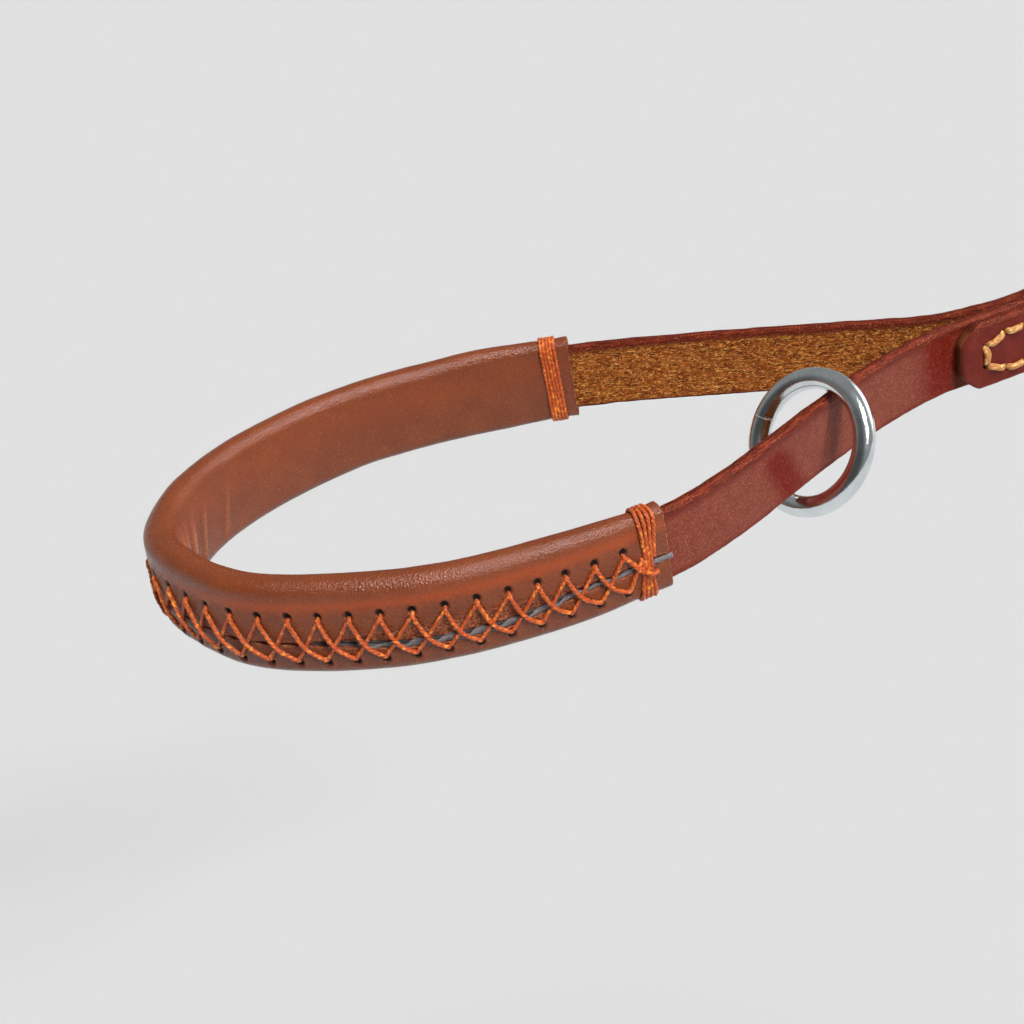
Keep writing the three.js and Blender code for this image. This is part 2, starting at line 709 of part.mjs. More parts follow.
function snapBolt() {
  const bolt = turnedAlongX([
    [BOLT_START_X, 0], [BOLT_START_X, BOLT_RADIUS - BOLT_CHAMFER],
    [BOLT_START_X + BOLT_CHAMFER, BOLT_RADIUS], [BOLT_END_X - BOLT_CHAMFER, BOLT_RADIUS],
    [BOLT_END_X, BOLT_RADIUS - BOLT_CHAMFER], [BOLT_END_X, 0],
  ], BARREL_Z, 16);
  const neckHole = rod(
    onAxis(THUMB_X, BARREL_Z - BOLT_RADIUS - CUT_MARGIN),
    onAxis(THUMB_X, BARREL_Z),
    THUMB_NECK_RADIUS + RUNNING_GAP,
    10,
  );
  return cut(bolt, [neckHole]);
}

function thumbStud() {
  const knobTop = BARREL_Z - BARREL_RADIUS - THUMB_KNOB_GAP;
  const knobBottom = knobTop - THUMB_KNOB_HEIGHT;
  const [topInset, topDrop] = THUMB_TOP_CHAMFER;
  const profile = [
    [0, BARREL_Z - RUNNING_GAP], [THUMB_NECK_RADIUS, BARREL_Z - RUNNING_GAP],
    [THUMB_NECK_RADIUS, knobTop], [THUMB_KNOB_RADIUS - topInset, knobTop],
    [THUMB_KNOB_RADIUS, knobTop - topDrop], [THUMB_KNOB_RADIUS, knobBottom + THUMB_END_CHAMFER],
    [THUMB_KNOB_RADIUS - THUMB_END_CHAMFER, knobBottom], [0, knobBottom],
  ];
  const geometry = new THREE.LatheGeometry(profile.map(([r, z]) => new THREE.Vector2(r, z)), 14);
  geometry.rotateX(Math.PI / 2);
  geometry.translate(THUMB_X, LAP_Y, 0);
  return toManifold(geometry);
}

function boltSpring() {
  const start = BARREL_BORE_START_X + SPRING_END_GAP + SPRING_WIRE_RADIUS;
  const end = BOLT_START_X - SPRING_END_GAP - SPRING_WIRE_RADIUS;
  const steps = SPRING_COILS * SPRING_STEPS_PER_TURN;
  const points = [];
  for (let i = 0; i <= steps; i += 1) {
    const angle = (i / SPRING_STEPS_PER_TURN) * 2 * Math.PI;
    const x = start + ((end - start) * i) / steps;
    const y = LAP_Y + SPRING_COIL_RADIUS * Math.cos(angle);
    points.push(onAxis(x, BARREL_Z + SPRING_COIL_RADIUS * Math.sin(angle), y));
  }
  return thread(points, SPRING_WIRE_RADIUS, 5, new THREE.Vector3(1, 0, 0));
}

// ---- assembly -----------------------------------------------------------------------------
const finish = {
  bridleLeather: { color: 0x7a3a30, roughness: 0.45, metalness: 0 },
  nappaLeather: { color: 0x96502f, roughness: 0.5, metalness: 0 },
  felt: { color: 0x8a8580, roughness: 0.95, metalness: 0 },
  lacingThread: { color: 0xc85519, roughness: 0.6, metalness: 0 },
  stitchThread: { color: 0xe1a55a, roughness: 0.7, metalness: 0 },
  nickel: { color: 0xc8c8c6, roughness: 0.2, metalness: 1 },
  springSteel: { color: 0x9a9a9a, roughness: 0.35, metalness: 1 },
};

const rearWhipping = whipping(handleLength - REAR_WHIPPING_INSET, REAR_WHIPPING_TURNS);
const parts = [
  ['leash_strap', leashStrap(), finish.bridleLeather],
  ['handle_padding', handlePadding(), finish.felt],
  ['handle_cover', handleCover(), finish.nappaLeather],
  ['cover_lacing', coverLacing(), finish.lacingThread],
  ['front_whipping', whipping(WHIPPING_INSET, FRONT_WHIPPING_TURNS), finish.lacingThread],
  ['rear_whipping', rearWhipping, finish.lacingThread],
  ['lap_stitching', lapStitching(), finish.stitchThread],
  ['accessory_ring', accessoryRing(), finish.nickel],
  ['snap_eye', snapEye(), finish.nickel],
  ['swivel_stud', swivelStud(), finish.nickel],
  ['hook_body', hookBody(), finish.nickel],
  ['snap_bolt', snapBolt(), finish.nickel],
  ['thumb_stud', thumbStud(), finish.nickel],
  ['bolt_spring', boltSpring(), finish.springSteel],
];

const leash = new THREE.Group();
for (const [name, solid, look] of parts) {
  const mesh = new THREE.Mesh(toGeometry(solid), new THREE.MeshStandardMaterial(look));
  mesh.name = name;
  leash.add(mesh);
}

export default leash;
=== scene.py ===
"""Looks of the training leash: leather loop, laced cover, ring, stitched lap and bolt snap."""
import math
import bmesh
import bpy
import numpy as np
from mathutils import Matrix, Vector


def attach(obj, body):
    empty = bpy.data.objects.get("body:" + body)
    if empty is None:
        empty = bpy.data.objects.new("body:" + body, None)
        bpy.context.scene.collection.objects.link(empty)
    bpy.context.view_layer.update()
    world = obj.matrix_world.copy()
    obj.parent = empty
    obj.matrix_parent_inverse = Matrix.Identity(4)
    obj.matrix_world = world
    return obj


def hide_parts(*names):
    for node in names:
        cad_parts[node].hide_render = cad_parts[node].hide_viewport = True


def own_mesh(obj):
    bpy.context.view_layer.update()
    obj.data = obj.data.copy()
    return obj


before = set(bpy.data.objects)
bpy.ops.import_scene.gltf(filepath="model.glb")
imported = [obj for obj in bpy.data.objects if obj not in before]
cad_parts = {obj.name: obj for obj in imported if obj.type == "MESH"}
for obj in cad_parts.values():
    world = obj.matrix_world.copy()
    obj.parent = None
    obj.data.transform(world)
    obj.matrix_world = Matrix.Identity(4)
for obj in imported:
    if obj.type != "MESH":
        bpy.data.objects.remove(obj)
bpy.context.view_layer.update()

# ---- dimensions of the part, in millimetres, as in the CAD --------------------------------
MM = 0.001
STRAP_HALF_WIDTH = 9.0
STRAP_HALF_THICKNESS = 1.6
LAP_Y = -28.6
LAYER_SPACING = 3.5
TAB_Y = LAP_Y - LAYER_SPACING
FAR_LAYER_Y = LAP_Y + LAYER_SPACING
TAB_START_X = 191.9
LAP_END_X = 260.0
EYE_X = 270.0
FOLD_RADIUS = 4.6
LOOP_ROUTE = [
    (224, FAR_LAYER_Y), (214, FAR_LAYER_Y), (206, FAR_LAYER_Y + 0.1), (190.8, -21.4),
    (174.2, -11.6), (140.9, 8.8), (113, 23.9), (83.3, 33.8), (52.7, 36.7), (20.3, 27.9),
    (3.6, 14.4), (-3.6, -1.8), (0, -18), (8.1, -32.4), (20.7, -43), (44.1, -54.9),
    (70.7, -60.1), (97.7, -60.2), (115.7, -55.2), (146.3, -41.7), (170.6, -32.5),
    (188, LAP_Y - 0.1), (197, LAP_Y), (210, LAP_Y), (224, LAP_Y),
]
COVER_NEAR_END_X = 96.4
COVER_FAR_END_X = 112.0
LACING_START = 10.6
LACING_PITCH = 6.75
WHIPPING_INSET = 5.2
THREAD_RADIUS = 0.56
STITCH_PITCH = 5.4
STITCH_FIRST_X = 204.0
STITCHES_PER_ROW = 9
STITCH_ROW_Z = 5.0
STITCH_END_Z = 2.7
RING_CENTRE = (144.4, -41.8, -0.6)
RING_MIDDLE_RADIUS = 15.2
RING_WIRE_RADIUS = 2.6
RING_AZIMUTH = math.radians(19)
RING_LEAN = math.radians(-33)
HOOK_X = 289.4
BARREL_Z = -10.5

CAMERA_PLACE = (-24.36, -369.74, 219.67)
CAMERA_RIGHT = (0.91494, -0.36809, -0.16555)
CAMERA_UP = (0.32872, 0.44161, 0.83482)
CAMERA_LENS = 63.28


# ---- small tools --------------------------------------------------------------------------
def srgb(red, green, blue):
    """A linear colour from 0-255 display values."""
    channels = []
    for value in (red, green, blue):
        share = value / 255
        low = share / 12.92
        high = ((share + 0.055) / 1.055) ** 2.4
        channels.append(low if share <= 0.04045 else high)
    return (*channels, 1.0)


def smooth_step(value, start, end):
    share = np.clip((value - start) / (end - start), 0, 1)
    return share * share * (3 - 2 * share)


def lattice(ix, iy, iz):
    mixed = (ix * 374761393 + iy * 668265263 + iz * 1274126177) & 0xFFFFFFFF
    mixed = ((mixed ^ (mixed >> 13)) * 1103515245) & 0xFFFFFFFF
    return ((mixed ^ (mixed >> 16)) & 0xFFFF) / 32767.5 - 1


def value_noise(points, size):
    """Smooth noise from -1 to 1 at points, with lumps of the given size. The same every run."""
    scaled = np.asarray(points, float) / size
    base = np.floor(scaled).astype(np.int64)
    share = scaled - base
    share = share * share * (3 - 2 * share)
    total = np.zeros(scaled.shape[:-1])
    for corner in np.ndindex(2, 2, 2):
        weight = np.ones(scaled.shape[:-1])
        for axis, side in enumerate(corner):
            part = share[..., axis]
            weight = weight * (part if side else 1 - part)
        total += weight * lattice(*(base[..., axis] + corner[axis] for axis in range(3)))
    return total


def smooth_curve(points, per_segment=16):
    """Centripetal Catmull-Rom curve through points."""
    knots = np.asarray(points, float)
    knots = np.vstack([2 * knots[0] - knots[1], knots, 2 * knots[-1] - knots[-2]])
    shares = np.linspace(0, 1, per_segment, endpoint=False)[:, None]
    pieces = []
    for before, start, end, after in zip(knots, knots[1:], knots[2:], knots[3:]):
        first, middle, last = (
            max(np.linalg.norm(b - a), 1e-6) ** 0.5
            for a, b in ((before, start), (start, end), (end, after)))
        out = (start - before) / first - (end - before) / (first + middle) + (end - start) / middle
        into = (end - start) / middle - (after - start) / (middle + last) + (after - end) / last
        out, into = out * middle, into * middle
        square = -3 * start + 3 * end - 2 * out - into
        cube = 2 * start - 2 * end + out + into
        pieces.append(start + out * shares + square * shares ** 2 + cube * shares ** 3)
    return np.vstack([*pieces, knots[-2][None]])


def lengths_along(points):
    steps = np.linalg.norm(np.diff(points, axis=0), axis=1)
    return np.concatenate([[0], np.cumsum(steps)])


def evenly(points, step):
    along = lengths_along(points)
    count = max(int(round(along[-1] / step)), 2)
    wanted = np.linspace(0, along[-1], count + 1)
    return np.stack([np.interp(wanted, along, points[:, k]) for k in range(points.shape[1])], 1)


def softened(points, step, spread):
    """Points with a Gaussian blur along the line, its two ends kept."""
    reach = int(3 * spread / step)
    kernel = np.exp(-0.5 * (np.arange(-reach, reach + 1) * step / spread) ** 2)
    kernel /= kernel.sum()
    padded = np.pad(points, ((reach, reach), (0, 0)), mode="reflect", reflect_type="odd")
    return np.stack([np.convolve(padded[:, k], kernel, "valid") for k in range(2)], 1)


# ---- the strap's route --------------------------------------------------------------------
ROUTE_STEP = 0.25


def strap_route():
    flare = np.linspace(0, 1, 20)
    ease = (1 - np.cos(math.pi * flare)) / 2
    spread = FOLD_RADIUS - LAYER_SPACING
    flare_x = LAP_END_X + (EYE_X - LAP_END_X) * flare
    angles = np.linspace(-math.pi / 2, math.pi / 2, 40)
    fold = np.stack([EYE_X + FOLD_RADIUS * np.cos(angles), LAP_Y + FOLD_RADIUS * np.sin(angles)], 1)
    pieces = [
        np.array([[TAB_START_X, TAB_Y]]),
        np.stack([flare_x, TAB_Y - spread * ease], 1),
        fold[1:-1],
        np.stack([flare_x, FAR_LAYER_Y + spread * ease], 1)[::-1],
        smooth_curve(LOOP_ROUTE),
        np.array([[LAP_END_X, LAP_Y]]),
    ]
    return softened(evenly(np.vstack(pieces), ROUTE_STEP), ROUTE_STEP, 1.6)


ROUTE = strap_route()
ROUTE_LENGTHS = lengths_along(ROUTE)
TANGENTS = np.gradient(ROUTE, ROUTE_LENGTHS, axis=0)
TANGENTS /= np.linalg.norm(TANGENTS, axis=1, keepdims=True)
HEADING = np.unwrap(np.arctan2(TANGENTS[:, 1], TANGENTS[:, 0]))
CURVATURE = np.gradient(HEADING, ROUTE_LENGTHS)
TOTAL_LENGTH = ROUTE_LENGTHS[-1]
IN_LOOP = ROUTE_LENGTHS > 2 * (EYE_X - TAB_START_X)
FAR_LEG = IN_LOOP & (ROUTE[:, 1] > 0)
NEAR_LEG = IN_LOOP & (ROUTE[:, 1] < LAP_Y - 1)
FAR_END = ROUTE_LENGTHS[np.argmax(FAR_LEG & (ROUTE[:, 0] < COVER_FAR_END_X))]
NEAR_END = ROUTE_LENGTHS[np.argmax(NEAR_LEG & (ROUTE[:, 0] > COVER_NEAR_END_X))]
HANDLE_LENGTH = NEAR_END - FAR_END


def place(along, outward, height):
    """Points beside the strap's centreline: outward is to the right of travel, off the loop."""
    along, outward, height = np.broadcast_arrays(along, outward, height)
    x = np.interp(along, ROUTE_LENGTHS, ROUTE[:, 0])
    y = np.interp(along, ROUTE_LENGTHS, ROUTE[:, 1])
    heading = np.interp(along, ROUTE_LENGTHS, HEADING)
    return np.stack([x + np.sin(heading) * outward, y - np.cos(heading) * outward, height], -1)


# ---- meshes -------------------------------------------------------------------------------
FIRST_SIDE = (0.13, 0.2, 0.97)
TIP_DOME = 0.5


def placed(name, data):
    """A new object with this data, in the scene."""
    thing = bpy.data.objects.new(name, data)
    bpy.context.scene.collection.objects.link(thing)
    return thing


def new_object(name, points, faces, values=None, lay=None):
    """A smooth-shaded mesh. values are floats per vertex, lay a per-vertex texture position."""
    mesh = bpy.data.meshes.new(name)
    mesh.from_pydata((np.asarray(points) * MM).tolist(), [], faces)
    mesh.shade_smooth()
    for key, numbers in (values or {}).items():
        layer = mesh.attributes.new(key, "FLOAT", "POINT")
        layer.data.foreach_set("value", np.asarray(numbers, np.float32).ravel())
    if lay is not None:
        corners = np.empty(len(mesh.loops), np.int32)
        mesh.loops.foreach_get("vertex_index", corners)
        uv = mesh.uv_layers.new(name="Lay")
        uv.data.foreach_set("uv", np.asarray(lay, np.float32)[corners].ravel())
    return placed(name, mesh)


def grid_faces(rows, columns, first=0, closed=False):
    faces = []
    last = columns if closed else columns - 1
    for i in range(rows - 1):
        for j in range(last):
            a = first + i * columns + j
            b = first + i * columns + (j + 1) % columns
            faces.append((a, b, b + columns, a + columns))
    return faces


def slab(name, front, back, values, lay):
    """A closed sheet of material between two matching grids of points."""
    rows, columns = front.shape[:2]
    size = rows * columns
    faces = grid_faces(rows, columns)
    faces += [tuple(reversed(face)) for face in grid_faces(rows, columns, size)]
    for i in range(rows - 1):
        a, b = i * columns, (i + 1) * columns
        faces.append((a, b, b + size, a + size))
        a, b = a + columns - 1, b + columns - 1
        faces.append((b, a, a + size, b + size))
    last = (rows - 1) * columns
    for j in range(columns - 1):
        faces.append((j + 1, j, j + size, j + 1 + size))
        faces.append((last + j, last + j + 1, last + j + 1 + size, last + j + size))
    points = np.concatenate([front.reshape(-1, 3), back.reshape(-1, 3)])
    piece = new_object(name, points, faces, values, lay)
    face_outwards(piece)
    return piece


def face_outwards(piece):
    shape = bmesh.new()
    shape.from_mesh(piece.data)
    bmesh.ops.recalc_face_normals(shape, faces=shape.faces)
    shape.to_mesh(piece.data)
    shape.free()
    piece.data.shade_smooth()


def grid_normals(grid):
    along = np.gradient(grid, axis=0)
    across = np.gradient(grid, axis=1)
    normals = np.cross(along, across)
    return normals / np.maximum(np.linalg.norm(normals, axis=-1, keepdims=True), 1e-9)


def line_frames(points, first_side):
    """Two unit directions across the line that turn with it."""
    tangents = np.gradient(points, axis=0)
    tangents /= np.maximum(np.linalg.norm(tangents, axis=1, keepdims=True), 1e-9)
    side = np.asarray(first_side, float)
    sides = []
    for tangent in tangents:
        side = side - tangent * side.dot(tangent)
        side /= np.linalg.norm(side)
        sides.append(side)
    sides = np.array(sides)
    return sides, np.cross(tangents, sides)


def sheet_lay(along, across):
    """Texture positions of a grid of points, in millimetres."""
    return np.stack(np.broadcast_arrays(along, across), -1).reshape(-1, 2)


def joined_faces(last, sides):
    """Faces from a closed bar's last ring of vertices back to its first."""
    return [(last + j, last + (j + 1) % sides, (j + 1) % sides, j) for j in range(sides)]


def cap_faces(tip, last, sides):
    """Fans round the two tips of a bar whose last ring of vertices starts at last."""
    faces = []
    for j in range(sides):
        k = (j + 1) % sides
        faces.append((tip, k, j))
        faces.append((tip + 1, last + j, last + k))
    return faces


def round_bar(points, radii, sides=12, closed=False, first_side=FIRST_SIDE, start=0.0):
    """Vertices, faces and lay of a round bar along points. Open bars get domed ends."""
    points = np.asarray(points, float)
    radii = np.broadcast_to(np.asarray(radii, float), (len(points),)).copy()
    side, across = line_frames(points, first_side)
    if closed:
        drift = math.atan2(side[-1].dot(across[0]), side[-1].dot(side[0]))
        turn = -drift * np.linspace(0, 1, len(points), endpoint=False)[:, None]
        side, across = (side * np.cos(turn) + across * np.sin(turn),
                        across * np.cos(turn) - side * np.sin(turn))
    angles = np.linspace(0, 2 * math.pi, sides, endpoint=False)
    ring = (side[:, None] * np.cos(angles)[None, :, None]
            + across[:, None] * np.sin(angles)[None, :, None])
    vertices = (points[:, None] + ring * radii[:, None, None]).reshape(-1, 3)
    faces = grid_faces(len(points), sides, closed=True)
    lay = sheet_lay((start + lengths_along(points))[:, None], radii[0] * angles[None, :])
    last = len(vertices) - sides
    if closed:
        return vertices, faces + joined_faces(last, sides), lay
    tips = [points[0] + (points[0] - points[1]) * TIP_DOME,
            points[-1] + (points[-1] - points[-2]) * TIP_DOME]
    faces += cap_faces(len(vertices), last, sides)
    return np.vstack([vertices, tips]), faces, np.vstack([lay, lay[0], lay[-1]])


def gathered(name, bars):
    """One object from many (vertices, faces, lay)."""
    vertices, faces, lays, count = [], [], [], 0
    for points, shape, lay in bars:
        vertices.append(points)
        lays.append(lay)
        faces += [tuple(index + count for index in face) for face in shape]
        count += len(points)
    piece = new_object(name, np.vstack(vertices), faces, lay=np.vstack(lays))
    face_outwards(piece)
    return piece


def twisted(points, radius, plies, pitch, flat=1.0, first_side=FIRST_SIDE, step=0.4, start=0.0):
    """A thread of several plies twisted round the line, wider than tall where flat is below 1."""
    line = evenly(np.asarray(points, float), step)
    side, across = line_frames(line, first_side)
    along = lengths_along(line)
    ply_radius = radius * (0.7 if plies == 2 else 0.58)
    bars = []
    for ply in range(plies):
        angle = 2 * math.pi * (along / pitch + ply / plies) + start
        offset = radius - ply_radius
        centre = (line + across * (np.cos(angle) * offset)[:, None]
                  + side * (np.sin(angle) * offset * flat)[:, None])
        wobble = 1 + 0.1 * value_noise(line + ply * 7.7, 0.9)
        bars.append(round_bar(centre, ply_radius * wobble, 8, start=start * 9 + ply * 3))
    return bars


def turned(profile, centre, sides=72, axis="X"):
    """Closed solid of revolution: profile is (distance along the axis, radius), from pole to pole."""
    angles = np.linspace(0, 2 * math.pi, sides, endpoint=False)
    rows = [np.stack([np.full(sides, along), radius * np.cos(angles), radius * np.sin(angles)], 1)
            for along, radius in profile[1:-1]]
    poles = np.array([[profile[0][0], 0, 0], [profile[-1][0], 0, 0]], float)
    vertices = np.vstack([*rows, poles])
    last = (len(rows) - 1) * sides
    faces = grid_faces(len(rows), sides, closed=True) + cap_faces(last + sides, last, sides)
    if axis == "Z":
        vertices = vertices[:, [1, 2, 0]]
    vertices = vertices + np.asarray(centre, float)
    return vertices, faces, vertices[:, :2]


def rounded_profile(profile, corner=0.35, steps=5):
    """The profile with its corners rounded, between its two ends on the axis."""
    points = np.array(profile, float)
    out = [points[0]]
    for before, here, after in zip(points, points[1:], points[2:]):
        cut_in = min(corner, np.linalg.norm(here - before) * 0.45)
        cut_out = min(corner, np.linalg.norm(after - here) * 0.45)
        start = here + (before - here) / max(np.linalg.norm(before - here), 1e-9) * cut_in
        end = here + (after - here) / max(np.linalg.norm(after - here), 1e-9) * cut_out
        for share in np.linspace(0, 1, steps):
            out.append((1 - share) ** 2 * start + 2 * share * (1 - share) * here + share ** 2 * end)
    out.append(points[-1])
    return [tuple(point) for point in out]


def block(low, high):
    corners = np.array([[x, y, z] for x in (low[0], high[0]) for y in (low[1], high[1])
                        for z in (low[2], high[2])], float)
    faces = [(0, 1, 3, 2), (4, 6, 7, 5), (0, 4, 5, 1), (2, 3, 7, 6), (0, 2, 6, 4), (1, 5, 7, 3)]
    return corners, faces, corners[:, :2]


def applied(piece):
    """The piece with its modifiers turned into mesh."""
    graph = bpy.context.evaluated_depsgraph_get()
    mesh = bpy.data.meshes.new_from_object(piece.evaluated_get(graph))
    piece.modifiers.clear()
    piece.data = mesh
    return piece


def remeshed(piece, voxel, rounds):
    remesh = piece.modifiers.new("Skin", "REMESH")
    remesh.mode = "VOXEL"
    remesh.voxel_size = voxel * MM
    applied(piece)
    soften = piece.modifiers.new("Soften", "SMOOTH")
    soften.factor = 0.5
    soften.iterations = rounds
    return applied(piece)


def cast(name, solids, cutters, voxel=0.26, rounds=5):
    """Overlapping solids grown into one casting with soft fillets, then bored and slotted."""
    piece = remeshed(gathered(name, solids), voxel, rounds)
    if cutters:
        tool = gathered("cutting_tool", cutters)
        boolean = piece.modifiers.new("Bore", "BOOLEAN")
        boolean.object = tool
        boolean.operation = "DIFFERENCE"
        boolean.solver = "EXACT"
        applied(piece)
        bpy.data.objects.remove(tool)
        remeshed(piece, voxel * 0.85, 2)
    piece.data.shade_smooth()
    return piece


# ---- materials ----------------------------------------------------------------------------
class Look:
    """A Principled material built from procedural nodes."""

    def __init__(self, name, roughness, metallic=0.0, specular=0.5):
        self.material = bpy.data.materials.new(name)
        self.material.use_nodes = True
        self.tree = self.material.node_tree
        self.shader = self.tree.nodes["Principled BSDF"]
        self.shader.inputs["Roughness"].default_value = roughness
        self.shader.inputs["Metallic"].default_value = metallic
        self.shader.inputs["Specular IOR Level"].default_value = specular
        self.last_bump = None

    def node(self, kind, inputs=None, **settings):
        """A new node with its settings, and its inputs fed with values or sockets."""
        node = self.tree.nodes.new(kind)
        for key, value in settings.items():
            setattr(node, key, value)
        for key, value in (inputs or {}).items():
            self.feed(node.inputs[key], value)
        return node

    def feed(self, socket, value):
        if isinstance(value, bpy.types.NodeSocket):
            self.tree.links.new(value, socket)
        else:
            socket.default_value = value

    def mapped(self, vector, scale):
        return self.node("ShaderNodeMapping", {"Vector": vector, "Scale": scale}).outputs["Vector"]

    def lay(self, size_along, size_across):
        """Position on the sheet, scaled so that one unit is the given sizes in millimetres."""
        uv = self.node("ShaderNodeUVMap", uv_map="Lay")
        return self.mapped(uv.outputs["UV"], (1 / size_along, 1 / size_across, 1))

    def solid(self, size):
        """Position in the object, scaled so that one unit is size millimetres."""
        coordinate = self.node("ShaderNodeTexCoord")
        return self.mapped(coordinate.outputs["Object"], (1 / (size * MM),) * 3)

    def noise(self, vector, detail=3, roughness=0.55, distortion=0.0):
        inputs = {"Vector": vector, "Scale": 1, "Detail": detail, "Roughness": roughness,
                  "Distortion": distortion}
        return self.node("ShaderNodeTexNoise", inputs).outputs["Fac"]

    def cells(self, vector):
        return self.node("ShaderNodeTexVoronoi", {"Vector": vector, "Scale": 1}).outputs["Distance"]

    def attribute(self, name):
        return self.node("ShaderNodeAttribute", attribute_name=name).outputs["Fac"]

    def between(self, value, low, high, out_low=0.0, out_high=1.0):
        """A soft step: out_low where value is at low, out_high where it is at high."""
        inputs = {"Value": value, "From Min": low, "From Max": high, "To Min": out_low, "To Max": out_high}
        node = self.node("ShaderNodeMapRange", inputs, clamp=True, interpolation_type="SMOOTHSTEP")
        return node.outputs["Result"]

    def math(self, operation, first, second):
        return self.node("ShaderNodeMath", {0: first, 1: second}, operation=operation).outputs[0]

    def times(self, first, second):
        return self.math("MULTIPLY", first, second)

    def plus(self, first, second):
        return self.math("ADD", first, second)

    def most(self, first, second):
        return self.math("MAXIMUM", first, second)

    def mix(self, share, first, second):
        """A colour between two others. The sockets of a Mix node that carry colours are 6, 7 and 2."""
        return self.node("ShaderNodeMix", {0: share, 6: first, 7: second}, data_type="RGBA").outputs[2]

    def bump(self, height, distance, strength=1.0):
        """Adds a layer of relief, distance in millimetres."""
        inputs = {"Strength": strength, "Distance": distance * MM, "Height": height}
        node = self.node("ShaderNodeBump", inputs)
        if self.last_bump:
            self.tree.links.new(self.last_bump, node.inputs["Normal"])
        self.last_bump = node.outputs["Normal"]

    def done(self, colour, roughness=None):
        self.feed(self.shader.inputs["Base Color"], colour)
        if roughness is not None:
            self.feed(self.shader.inputs["Roughness"], roughness)
        if self.last_bump:
            self.tree.links.new(self.last_bump, self.shader.inputs["Normal"])
        return self.material


def cover_leather():
    """Brown nappa with a fine grain, suede at its cut edges, painted black shade in the lacing holes, a
    painted orange band of light below the highlight, painted highlight on the crease ridges, and grain
    flecks painted lighter and darker as highlight sparkle and shade.
    """
    look = Look("NappaCover", 0.3, specular=0.52)
    blotches = look.noise(look.solid(9), 3)
    pebbles = look.cells(look.solid(0.5))
    fine = look.noise(look.solid(0.3), 3, 0.7)
    raw, hole = look.attribute("raw"), look.attribute("hole")
    brown = look.mix(look.between(blotches, 0.35, 0.68), srgb(110, 49, 15), srgb(121, 56, 19))
    # The lighter fine flecks and the darker pebble borders are partly grain tone, partly painted highlight
    # sparkle and painted shade in the grain's hollows.
    brown = look.mix(look.between(fine, 0.52, 0.74, 0, 0.4), brown, srgb(182, 104, 56))
    brown = look.mix(look.between(pebbles, 0.42, 0.8, 0, 0.5), brown, srgb(112, 46, 12))
    # Painted light: an orange band where the light falls off below the highlight on the upper outer
    # rounding, and on the inner face at bends.
    painted_light_share = look.times(look.attribute("painted_light_band"), look.between(fine, 0.25, 0.6, 0.5, 1))
    brown = look.mix(painted_light_share, brown, srgb(162, 62, 0))
    # Painted highlight on the crease ridges, light pinkish grey.
    painted_glint_share = look.times(look.attribute("painted_ridge_glint"), look.between(fine, 0.3, 0.6, 0.1, 0.6))
    brown = look.mix(painted_glint_share, brown, srgb(206, 146, 118))
    fleck = look.between(look.noise(look.solid(0.6), 4, 0.75), 0.44, 0.6)
    suede = look.mix(fleck, srgb(126, 54, 28), srgb(206, 126, 80))
    # The lacing holes are painted near black: painted shade inside the holes.
    colour = look.mix(hole, look.mix(raw, brown, suede), srgb(5, 2, 2))
    look.bump(look.plus(look.times(pebbles, 0.8), look.times(fine, 0.6)), 0.18)
    look.bump(look.times(look.noise(look.solid(0.42), 4, 0.8), raw), 0.5)
    gloss = look.between(fine, 0.3, 0.7, 0.14, 0.28)
    return look.done(colour, look.most(gloss, look.most(look.times(raw, 0.9), hole)))


def grain_side(look, mottle, fine):
    """The smooth side: red brown, darker in the lap, redder and flaked where it wears, and painted dark
    red shade beside the tab end.
    """
    worn = look.attribute("worn")
    streaks = look.noise(look.lay(0.9, 5.0), 3, 0.6)
    grain = look.mix(look.between(mottle, 0.3, 0.7), srgb(108, 48, 36), srgb(120, 56, 42))
    grain = look.mix(look.between(streaks, 0.5, 0.75, 0, 0.15), grain, srgb(102, 34, 22))
    grain = look.mix(look.between(fine, 0.5, 0.7, 0, 0.6), grain, srgb(180, 112, 84))
    darkened = look.mix(look.between(mottle, 0.4, 0.7), srgb(98, 32, 24), srgb(110, 40, 32))
    grain = look.mix(look.attribute("dark"), grain, darkened)
    marks = look.between(look.noise(look.lay(0.8, 1.6), 4, 0.7), 0.34, 0.56)
    scuff_and_tab_shade = look.math("MINIMUM", look.times(worn, look.plus(marks, 0.6)), 1.0)
    # Dark red scuff colour: real wear at the crease, painted shade beside the tab end.
    grain = look.mix(scuff_and_tab_shade, grain, srgb(100, 16, 3))
    flake = look.times(worn, look.between(fine, 0.58, 0.7, 0, 0.7))
    return look.mix(flake, grain, srgb(196, 96, 44))


def flesh_side(look, clumps, fibre):
    """The rough side: clumps of light fibre with dark flecks."""
    flesh = look.mix(look.between(clumps, 0.36, 0.62), srgb(92, 34, 8), srgb(160, 80, 26))
    flesh = look.mix(look.between(fibre, 0.54, 0.6), flesh, srgb(240, 172, 84))
    fleck = look.between(look.noise(look.lay(1.5, 0.9), 3, 0.6, 0.8), 0.6, 0.7)
    return look.mix(fleck, flesh, srgb(70, 26, 10))


